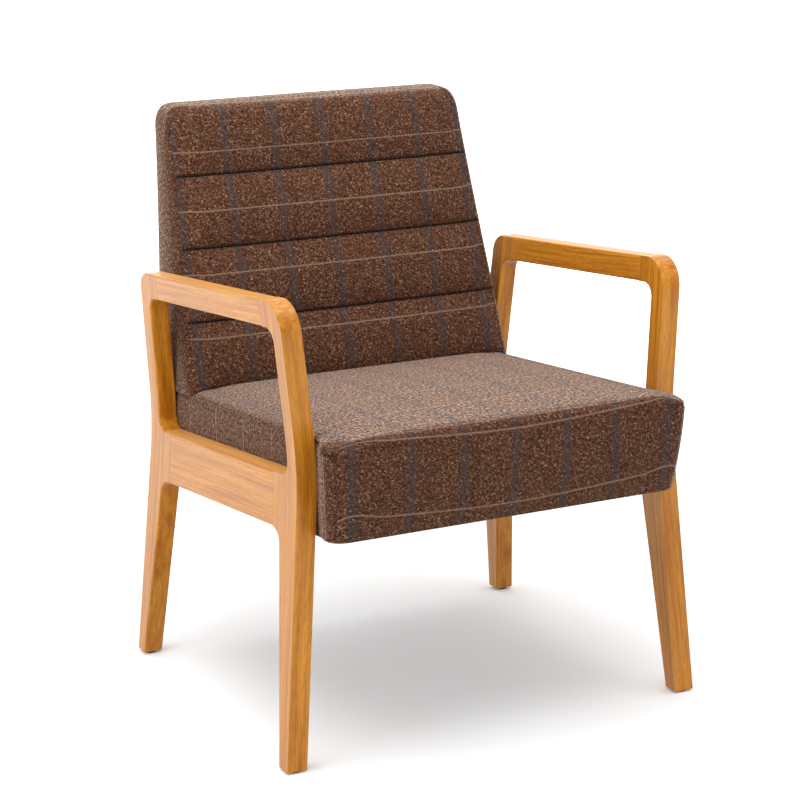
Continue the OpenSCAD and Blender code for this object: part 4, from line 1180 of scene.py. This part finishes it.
class CHAIR_OT_back_cushion(bpy.types.Operator):
    """Makes the back's channelled cushion in its tweed cover"""

    bl_idname = "chair.back_cushion"
    bl_label = "Back cushion"

    # Lean of the cloth's stripes from the seams, where the overcheck's lines start on the
    # front and the rear, and how far they lie apart above the top seam
    stripe_lean, front_line, rear_line, top_stretch = 0.02, 0.05, 0.02, 1.17
    # Height of the cloth that turns in over each seam from the channel above, how much
    # sooner its shadow ends, and how deep the boxing's seams are beside the channels'
    turned_in, sooner, boxing_depth = (0.0004, 0.02), 3.0, 0.25

    def execute(self, context):
        settings = context.scene.chair
        s, t = settings.cushion, settings.tweed
        front = foot_front(settings.frame)
        form = BackForm(s, SeatForm(s, front))
        shell = form.shell()
        nx, ny = form.counts
        n, last = shell.ring_n, shell.ring_count - 1
        place_at = lambda p: (p[0], p[1] + front, p[2])
        middle = rise_along(shell.points, shell.column(nx // 2, 0, last))
        start = middle[form.seam_rings[2]]
        hidden_stripe, hidden_line = t.stripe_pitch / 2, t.line_pitch / 2
        slope = 1 / math.cos(s.back_lean)
        edge_y = shell.points[last * n + nx // 2][1]

        def cloth_uv(panel, i):
            p = shell.points[i]
            if panel == "under":
                return (p[0], p[1]), (hidden_stripe, hidden_line)
            if panel == "boxing":
                return (p[1] + PANELS_APART, p[2]), (hidden_stripe, hidden_line)
            if panel == "rear":
                return (p[0] + 2 * PANELS_APART, p[2]), (p[0] - t.stripe_place,
                    p[2] - self.rear_line)
            r = i // n
            if r > last or panel == "top":
                v = middle[last] - start + p[1] - edge_y
                return (p[0], v), (p[0] - t.stripe_place - self.stripe_lean * v,
                    v + self.front_line)
            v = middle[r] - start
            up = (p[2] - form.seams[-1]) * slope if r < form.roll_ring else v
            return (p[0], v), (p[0] - t.stripe_place - self.stripe_lean * v,
                up * (self.top_stretch if up > 0 else 1.0) + self.front_line)

        world = np.array([place_at(p) for p in shell.points])
        channels = [world[shell.ring(r)[: nx + 1]] for r in form.seam_rings]
        left_top, right_top = shell.column(0, 0, last), shell.column(nx, 0, last)
        top_ring, crest = shell.ring(last), shell.ring(form.crest_ring)
        boxing = [
            world[left_top + top_ring[2 * nx + ny :][::-1]],
            world[right_top + top_ring[nx : nx + ny + 1]],
            world[shell.column(nx + ny, 0, form.crest_ring)],
            world[shell.column(2 * nx + ny, 0, form.crest_ring)],
            world[crest[nx + ny : 2 * nx + ny + 1]]]
        to_channel = distance_to(world, channels)
        to_boxing = distance_to(world, boxing)
        depths = np.where(to_channel < to_boxing, 1.0, self.boxing_depth)
        # The upper channel's cloth turns in over each seam, and most of the shadow lies there
        heights = shell.points[:, 2:] - np.array(form.seams)
        below = np.any((heights < -self.turned_in[0]) & (heights > -self.turned_in[1]), axis=1)
        mesh = cushion_mesh("back_cushion", shell, place_at, cloth_uv, channels + boxing, depths,
            farther=np.where(below & (to_channel < to_boxing), self.sooner, 1.0))
        piece = link("back_cushion", mesh, tweed_material("wool_tweed_back", t))
        foot = np.arange(len(shell.points)) < n
        held = np.where((to_channel < STITCHED) | (to_boxing < STITCHED) | foot, 1.0, 0.0)
        inflate(piece, s, held, form.room(shell.points))
        dress(piece, groove=0.0026, width=0.0024)
        place(piece, "tweed", "back_cover", "back_foam")
        return {"FINISHED"}


# Sewing and stapling
def row_tree(name):
    """Geometry nodes that lay short bowed wires end to end along a line of points, each
    lying on the surface whose outward direction the line carries as its up attribute."""
    tree = bpy.data.node_groups.new(name, "GeometryNodeTree")
    socket = tree.interface.new_socket
    socket("Geometry", in_out="INPUT", socket_type="NodeSocketGeometry")
    for word in ("Spacing", "Length", "Width", "Height"):
        socket(word, in_out="INPUT", socket_type="NodeSocketFloat").subtype = "DISTANCE"
    socket("Unevenness", in_out="INPUT", socket_type="NodeSocketFloat")
    socket("Seed", in_out="INPUT", socket_type="NodeSocketInt")
    socket("Material", in_out="INPUT", socket_type="NodeSocketMaterial")
    socket("Geometry", in_out="OUTPUT", socket_type="NodeSocketGeometry")
    given = tree.nodes.new("NodeGroupInput").outputs
    line = add(tree, "GeometryNodeResampleCurve",
        {"Curve": add(tree, "GeometryNodeMeshToCurve", {"Mesh": given["Geometry"]}),
         "Length": given["Spacing"]}, mode="LENGTH")
    # Half a wire's length each way, the height of its bow's handles, its sunk ends and
    # its thickness
    half, back, rise, sunk, radius = (
        add(tree, "ShaderNodeMath", {0: given[word], 1: share}, operation="MULTIPLY")
        for word, share in (("Length", 0.5), ("Length", -0.5), ("Height", 1.6),
            ("Width", -0.7), ("Width", 0.5)))
    bow = add(tree, "GeometryNodeCurvePrimitiveBezierSegment",
        {"Resolution": 4,
         "Start": add(tree, "ShaderNodeCombineXYZ", {"X": back, "Z": sunk}),
         "Start Handle": add(tree, "ShaderNodeCombineXYZ", {"X": back, "Z": rise}),
         "End Handle": add(tree, "ShaderNodeCombineXYZ", {"X": half, "Z": rise}),
         "End": add(tree, "ShaderNodeCombineXYZ", {"X": half, "Z": sunk})})
    profile = add(tree, "GeometryNodeCurvePrimitiveCircle", {"Resolution": 5, "Radius": radius})
    wire = add(tree, "GeometryNodeCurveToMesh",
        {"Curve": bow, "Profile Curve": profile, "Fill Caps": True})
    up = add(tree, "GeometryNodeInputNamedAttribute", {"Name": "up"}, data_type="FLOAT_VECTOR")
    along = add(tree, "FunctionNodeAlignRotationToVector",
        {"Vector": add(tree, "GeometryNodeInputTangent")}, axis="X")
    stood = add(tree, "FunctionNodeAlignRotationToVector",
        {"Rotation": along, "Vector": up}, axis="Z", pivot_axis="X")
    least, most = (
        add(tree, "ShaderNodeMath", {0: 1.0, 1: given["Unevenness"]}, operation=operation)
        for operation in ("SUBTRACT", "ADD"))
    uneven = add(tree, "FunctionNodeRandomValue",
        {"Min": least, "Max": most, "Seed": given["Seed"]}, data_type="FLOAT")
    laid = add(tree, "GeometryNodeInstanceOnPoints",
        {"Points": line, "Instance": wire, "Rotation": stood, "Scale": uneven})
    finished = add(tree, "GeometryNodeSetMaterial",
        {"Geometry": add(tree, "GeometryNodeRealizeInstances", {"Geometry": laid}),
         "Material": given["Material"]})
    tree.links.new(finished.outputs[0], tree.nodes.new("NodeGroupOutput").inputs[0])
    return tree


def row_of(name, tree, lines, ups, material, seed, **sizes):
    """A row of stitches or staples along each line of points, as one plain mesh."""
    mesh = bpy.data.meshes.new(name)
    points = [tuple(p) for line in lines for p in line]
    edges, at = [], 0
    for line in lines:
        edges += [(at + i, at + i + 1) for i in range(len(line) - 1)]
        at += len(line)
    mesh.from_pydata(points, edges, [])
    mesh.attributes.new("up", "FLOAT_VECTOR", "POINT").data.foreach_set(
        "vector", np.array([n for up in ups for n in up], dtype=float).ravel())
    piece = link(name, mesh, None)
    row = piece.modifiers.new("row", "NODES")
    row.node_group = tree
    values = {"Seed": seed, "Material": material,
        **{key.capitalize(): value for key, value in sizes.items()}}
    for item in tree.interface.items_tree:
        if item.in_out == "INPUT" and item.name in values:
            row[item.identifier] = values[item.name]
    settle(piece)
    piece.data.shade_smooth()
    return piece


def laid_on(piece, line, lift):
    """The points of a line laid on a piece's surface, with the surface's directions."""
    tree = BVHTree.FromObject(piece, bpy.context.evaluated_depsgraph_get())
    out, ups = [], []
    for p in line:
        spot, normal = tree.find_nearest(Vector(p))[:2]
        out.append(spot + normal * lift)
        ups.append(normal)
    return out, ups


def thread_material(name, code):
    """Bonded polyester sewing thread: smooth, twisted and a little shiny."""
    material, tree = new_material(name)
    where = add(tree, "ShaderNodeTexCoord").outputs["Object"]
    twist = add(tree, "ShaderNodeTexNoise", {"Vector": where, "Scale": 1500.0, "Detail": 1.0})
    tone = add(tree, "ShaderNodeMapRange", {"Value": twist, "To Min": 0.6, "To Max": 1.2})
    colour_of = add(tree, "ShaderNodeMix", {"Factor": 1.0, "A": srgb(code), "B": tone},
        data_type="RGBA", blend_type="MULTIPLY")
    finish_material(tree, {"Base Color": colour_of, "Roughness": 0.55, "IOR": 1.54,
        "Sheen Weight": 0.2})
    return material


# Parts under the seat and inside the cushions
def beech_material(name, s):
    """Steamed beech, sawn and left bare: pinkish tan, with the short dark flecks of its
    rays and the faint marks of the saw, 1.5 mm apart, across the grain."""
    material, tree = new_material(name)
    where = add(tree, "ShaderNodeTexCoord").outputs["Object"]
    grain = add(tree, "ShaderNodeTexNoise",
        {"Vector": add(tree, "ShaderNodeVectorMath", {0: where, 1: (9.0, 160.0, 160.0)},
            operation="MULTIPLY"), "Scale": 1.0, "Detail": 3.0})
    fleck = add(tree, "ShaderNodeTexVoronoi",
        {"Vector": add(tree, "ShaderNodeVectorMath", {0: where, 1: (0.25, 1.0, 1.0)},
            operation="MULTIPLY"), "Scale": 420.0})
    rays = add(tree, "ShaderNodeMapRange",
        {"Value": fleck.outputs["Distance"], "From Min": 0.05, "From Max": 0.2,
         "To Min": 0.35, "To Max": 0.0})
    wood = add(tree, "ShaderNodeMix", {"Factor": grain, "A": s.beech, "B": s.beech_dark},
        data_type="RGBA")
    flecked = add(tree, "ShaderNodeMix", {"Factor": rays, "A": wood, "B": s.beech_ray},
        data_type="RGBA")
    saw = add(tree, "ShaderNodeTexWave", {"Vector": where, "Scale": 105.0, "Distortion": 1.5})
    bump = add(tree, "ShaderNodeBump", {"Strength": 0.3, "Distance": 0.0003, "Height": saw})
    finish_material(tree, {"Base Color": flecked, "Roughness": 0.75, "Normal": bump,
        "Specular IOR Level": 0.3})
    return material


def webbing_material(name):
    """Elastic webbing, woven from black and grey polypropylene over rubber threads:
    coarse ribs across the strap and a fine stripe along it."""
    material, tree = new_material(name)
    where = add(tree, "ShaderNodeTexCoord").outputs["Object"]
    ribs = add(tree, "ShaderNodeTexChecker", {"Vector": where, "Scale": 380.0,
        "Color1": srgb("#2B2B2D"), "Color2": srgb("#55555A")})
    wear = add(tree, "ShaderNodeTexNoise", {"Vector": where, "Scale": 900.0})
    woven = add(tree, "ShaderNodeMix", {"Factor": wear, "A": ribs.outputs["Color"],
        "B": srgb("#1B1B1C")}, data_type="RGBA")
    bump = add(tree, "ShaderNodeBump", {"Strength": 0.6, "Distance": 0.0004,
        "Height": ribs.outputs["Fac"]})
    finish_material(tree, {"Base Color": woven, "Roughness": 0.8, "Normal": bump,
        "Sheen Weight": 0.15})
    return material


def dust_cloth_material(name):
    """Spun-bonded polypropylene: thin black cloth pressed with a fine grid of dots 1.5 mm
    apart, whose fibres catch the light a little."""
    material, tree = new_material(name)
    where = add(tree, "ShaderNodeTexCoord").outputs["Object"]
    dots = add(tree, "ShaderNodeTexVoronoi",
        {"Vector": where, "Scale": 660.0, "Randomness": 0.15})
    fibres = add(tree, "ShaderNodeTexNoise", {"Vector": where, "Scale": 1400.0, "Detail": 2.0})
    tone = add(tree, "ShaderNodeMix", {"Factor": fibres, "A": srgb("#0E0E0F"),
        "B": srgb("#2A2A2C")}, data_type="RGBA")
    bump = add(tree, "ShaderNodeBump", {"Strength": 0.5, "Distance": 0.0002,
        "Height": dots.outputs["Distance"]})
    finish_material(tree, {"Base Color": tone, "Roughness": 0.7, "Normal": bump,
        "Sheen Weight": 0.25})
    return material


def metal_material(name, base, dull, rough, grain):
    """A plated or turned fitting: the drawn or turned marks stretch its reflections."""
    material, tree = new_material(name)
    where = add(tree, "ShaderNodeTexCoord").outputs["Object"]
    marks = add(tree, "ShaderNodeTexNoise",
        {"Vector": add(tree, "ShaderNodeVectorMath", {0: where, 1: (grain, 60.0, 60.0)},
            operation="MULTIPLY"), "Scale": 1.0, "Detail": 2.0})
    tone = add(tree, "ShaderNodeMix", {"Factor": marks, "A": srgb(base), "B": srgb(dull)},
        data_type="RGBA")
    gloss = add(tree, "ShaderNodeMapRange",
        {"Value": marks, "To Min": rough - 0.08, "To Max": rough + 0.1})
    finish_material(tree, {"Base Color": tone, "Metallic": 1.0, "Roughness": gloss})
    return material


def nylon_material(name):
    """Moulded nylon: near black, with the fine spark-eroded grain of its mould."""
    material, tree = new_material(name)
    where = add(tree, "ShaderNodeTexCoord").outputs["Object"]
    grain = add(tree, "ShaderNodeTexNoise", {"Vector": where, "Scale": 2500.0, "Detail": 1.0})
    tone = add(tree, "ShaderNodeMix", {"Factor": grain, "A": srgb("#191817"),
        "B": srgb("#2C2A28")}, data_type="RGBA")
    bump = add(tree, "ShaderNodeBump", {"Strength": 0.3, "Distance": 0.0001, "Height": grain})
    finish_material(tree, {"Base Color": tone, "Roughness": 0.5, "Normal": bump, "IOR": 1.53})
    return material


class CHAIR_OT_fittings(bpy.types.Operator):
    """Finishes the hidden frames, dowels, webbing, bolts and the glides under the legs"""

    bl_idname = "chair.fittings"
    bl_label = "Frames and fittings"

    def execute(self, context):
        s = context.scene.chair.fittings
        finishes = {
            "beech": beech_material("steamed_beech_sawn", s),
            "webbing": webbing_material("elastic_webbing_woven"),
            "zinc_steel": metal_material("steel_zinc_plated", "#C6C9CC", "#8F9498", 0.32, 900.0),
            "insert_brass": metal_material("brass_turned", "#CBA65A", "#A98443", 0.28, 1500.0),
            "glide_plastic": nylon_material("nylon_moulded"),
        }
        for part in frame["record"]["subparts"]:
            if part["material_slot"] in finishes:
                for holder in NODES[part["node"]].material_slots:
                    holder.material = finishes[part["material_slot"]]
        return {"FINISHED"}


class CHAIR_OT_dust_cover(bpy.types.Operator):
    """Makes the black cloth stretched under the seat and its row of staples"""

    bl_idname = "chair.dust_cover"
    bl_label = "Dust cover"

    # Parts into which the cloth's sides and those of its line of staples are divided
    counts, staple_sides = (52, 54), (30, 30)
    # The cloth ends this far inside the seat's block, and its staples this much further in
    inset, staples_inset = 0.007, 0.009
    # Thickness of the cloth, its gap to the rails, and how far the doubled edge stands out
    thickness, gap, doubled, doubled_fade = 0.0004, 0.0004, 0.0003, 0.0015
    # How far in from its edge the cloth sags, and how far below the rails the staples lie
    sag_reach, staples_below = 0.16, 0.0012

    def execute(self, context):
        settings = context.scene.chair
        s, f = settings.cushion, settings.fittings
        form = SeatForm(s, foot_front(settings.frame))
        counts, inset = self.counts, self.inset
        half, deep = s.seat_half - inset, s.seat_depth - 2 * inset
        flat = cap_plan(rounded_plan(half, inset, s.seat_depth - inset, s.seat_corner - inset,
            s.seat_rear_corner - inset, counts), counts)
        c, n, low = math.cos(s.seat_tilt), math.sin(s.seat_tilt), s.seat_front_low
        lay = lambda x, y, z: (x, form.front + low[0] + y * c + z * n, low[1] - y * n + z * c)
        points = []
        for x, y in flat.reshape(-1, 2):
            edge = min(half - abs(x), y - inset, s.seat_depth - inset - y)
            # The turned-in edge is double, and the cloth between the rails sags a little
            doubled = self.doubled * (1 - ease((edge - f.turned_edge) / self.doubled_fade))
            sag = f.dust_sag * ease(edge / self.sag_reach)
            points.append(lay(x, y, -self.gap - doubled - sag))
        row = counts[1] + 1
        faces = [(i * row + j, i * row + j + 1, (i + 1) * row + j + 1, (i + 1) * row + j)
            for i in range(counts[0]) for j in range(counts[1])]
        mesh = bpy.data.meshes.new("dust_cover_cloth")
        mesh.from_pydata(points, [], faces)
        piece = link("dust_cover_cloth", mesh, dust_cloth_material("polypropylene_spun_bonded"))
        thick = piece.modifiers.new("cloth", "SOLIDIFY")
        thick.thickness, thick.offset = self.thickness, -1.0
        settle(piece)
        piece.data.shade_smooth()
        piece.data.set_sharp_from_angle(angle=math.radians(40))
        place(piece, "dust_cloth", "seat_dust_cover")

        inner = inset + self.staples_inset
        border = rounded_plan(s.seat_half - inner, inner, s.seat_depth - inner,
            s.seat_corner, s.seat_rear_corner, self.staple_sides)
        line = [lay(x, y, -self.staples_below) for x, y in border[:-1]]
        down = tuple(a - b for a, b in zip(lay(0, 0, -1), lay(0, 0, 0)))
        staples = row_of("dust_cover_staples", row_tree("staple_row"), [line],
            [[down] * len(line)],
            metal_material("staple_wire_drawn", "#B9BCC0", "#84888C", 0.35, 1200.0), seed=3,
            spacing=0.036, length=0.0105, width=0.0009, height=0.0002, unevenness=0.04)
        place(staples, "zinc_steel")
        return {"FINISHED"}


class CHAIR_OT_stitching(bpy.types.Operator):
    """Sews the seams between the back's channels"""

    bl_idname = "chair.stitching"
    bl_label = "Stitching"

    # The seams are sought from this far before the cushion, the thread lies this far off
    # the cloth, and a seam's first and last two points, in the boxing's seams, have none
    before, lift, sewn = 0.004, 0.0002, slice(2, -2)

    def execute(self, context):
        settings = context.scene.chair
        f = settings.fittings
        front = foot_front(settings.frame)
        form = BackForm(settings.cushion, SeatForm(settings.cushion, front))
        shell = form.shell()
        cushion = bpy.data.objects["back_cushion"]
        lines, ups = [], []
        for r in form.seam_rings:
            seam = shell.points[shell.ring(r)[: form.counts[0] + 1]]
            sought = [(x, y + front - self.before, z) for x, y, z in seam]
            line, up = laid_on(cushion, sought, self.lift)
            lines.append(line[self.sewn])
            ups.append(up[self.sewn])
        stitches = row_of("back_channel_stitches", row_tree("stitch_row"), lines, ups,
            thread_material("polyester_thread_bonded", "#3B2A22"), seed=5, spacing=f.stitch,
            length=f.stitch * 0.82, width=f.thread, height=f.thread * 0.4, unevenness=0.06)
        place(stitches, "tweed")
        return {"FINISHED"}


# Floor, light and camera
class CHAIR_OT_stage(bpy.types.Operator):
    """Makes the pale floor, the soft studio light and the camera"""

    bl_idname = "chair.stage"
    bl_label = "Stage"

    # Half the floor's width, where its glow starts to rise and where it is white
    reach, glow_from, glow_to = 60.0, 0.7, 3.0
    # Place and size of the lamps, and the point that they aim at
    above, left, aimed_at = ((-0.3, -0.1, 2.4), 2.2), ((-2.1, -0.35, 1.2), 1.4), (0.0, 0.0, 0.4)
    white = (1.0, 1.0, 1.0)

    def execute(self, context):
        s = context.scene.chair.stage
        # Plain pale floor; the camera and glossy rays see it lit evenly, less its shadow,
        # and further off, where the lamps fall away, it glows up to white
        material, tree = new_material("painted_studio_floor")
        rays = add(tree, "ShaderNodeLightPath")
        seen = add(tree, "ShaderNodeMath",
            {0: rays.outputs["Is Camera Ray"], 1: rays.outputs["Is Glossy Ray"]},
            operation="MAXIMUM")
        pale = add(tree, "ShaderNodeMix", {"Factor": seen, "A": s.floor, "B": self.white},
            data_type="RGBA")
        matt = add(tree, "ShaderNodeBsdfDiffuse", {"Color": pale})
        away = add(tree, "ShaderNodeVectorMath",
            {0: add(tree, "ShaderNodeTexCoord").outputs["Object"]}, operation="LENGTH")
        even = add(tree, "ShaderNodeMapRange",
            {"Value": away.outputs["Value"], "From Min": self.glow_from, "From Max": self.glow_to,
             "To Min": s.floor_glow, "To Max": 1.0}, interpolation_type="SMOOTHSTEP")
        glow = add(tree, "ShaderNodeEmission",
            {"Color": self.white, "Strength": add(tree, "ShaderNodeMath",
                {0: seen, 1: even}, operation="MULTIPLY")})
        add(tree, "ShaderNodeOutputMaterial",
            {"Surface": add(tree, "ShaderNodeAddShader", {0: matt, 1: glow})})
        ground = bpy.data.meshes.new("studio_floor")
        ground.from_pydata([(x * self.reach, y * self.reach, 0)
            for x, y in ((-1, -1), (1, -1), (1, 1), (-1, 1))], [], [(0, 1, 2, 3)])
        link("studio_floor", ground, material)

        # White world for the camera, reflections and glass, soft daylight for the rest
        world = bpy.data.worlds.new("studio")
        world.use_nodes = True
        tree = world.node_tree
        tree.nodes.clear()
        rays = add(tree, "ShaderNodeLightPath")
        seen = add(tree, "ShaderNodeMath",
            {0: add(tree, "ShaderNodeMath", {0: rays.outputs["Is Camera Ray"],
                1: rays.outputs["Is Glossy Ray"]}, operation="MAXIMUM"),
             1: rays.outputs["Is Transmission Ray"]}, operation="MAXIMUM")
        power = add(tree, "ShaderNodeMapRange", {"Value": seen, "To Min": s.fill, "To Max": 1.0})
        add(tree, "ShaderNodeOutputWorld", {"Surface": add(tree, "ShaderNodeBackground",
            {"Color": self.white, "Strength": power})})
        context.scene.world = world

        for name, (place_at, size), power in (
            ("soft_box_above", self.above, s.key), ("soft_box_left", self.left, s.side),
        ):
            lamp = bpy.data.lights.new(name, "AREA")
            lamp.shape, lamp.size, lamp.energy = "SQUARE", size, power
            made = bpy.data.objects.new(name, lamp)
            context.scene.collection.objects.link(made)
            made.location = place_at
            aim = Vector(self.aimed_at) - Vector(place_at)
            made.rotation_euler = aim.to_track_quat("-Z", "Y").to_euler()

        eye = bpy.data.cameras.new("camera")
        eye.lens, eye.sensor_width = s.lens, 36.0
        camera = bpy.data.objects.new("camera", eye)
        context.scene.collection.objects.link(camera)
        camera.location = s.camera_place
        camera.location.y += foot_front(context.scene.chair.frame)
        camera.rotation_euler = (math.pi / 2 - s.camera_dip, 0.0, -s.camera_turn)
        context.scene.camera = camera
        context.scene.view_settings.view_transform = "Standard"
        return {"FINISHED"}


OPERATORS = (
    CHAIR_OT_stage,
    CHAIR_OT_side_frames,
    CHAIR_OT_seat_cushion,
    CHAIR_OT_back_cushion,
    CHAIR_OT_stitching,
    CHAIR_OT_dust_cover,
    CHAIR_OT_fittings,
)


class CHAIR_PT_panel(bpy.types.Panel):
    """Lists the operators that make the chair"""

    bl_idname = "CHAIR_PT_panel"
    bl_label = "Lounge chair"
    bl_space_type = "VIEW_3D"
    bl_region_type = "UI"
    bl_category = "Chair"

    def draw(self, context):
        for operator in OPERATORS:
            self.layout.operator(operator.bl_idname)


GROUPS = (OakFrameSizes, TweedSizes, CushionSizes, FittingSizes, StageSizes, ChairSettings)


def register():
    for kind in (*GROUPS, *OPERATORS, CHAIR_PT_panel):
        bpy.utils.register_class(kind)
    bpy.types.Scene.chair = PointerProperty(type=ChairSettings)


def unregister():
    del bpy.types.Scene.chair
    for kind in reversed((*GROUPS, *OPERATORS, CHAIR_PT_panel)):
        bpy.utils.unregister_class(kind)


def main():
    register()
    for operator in OPERATORS:
        group, name = operator.bl_idname.split(".")
        getattr(getattr(bpy.ops, group), name)()


if __name__ == "__main__":
    main()
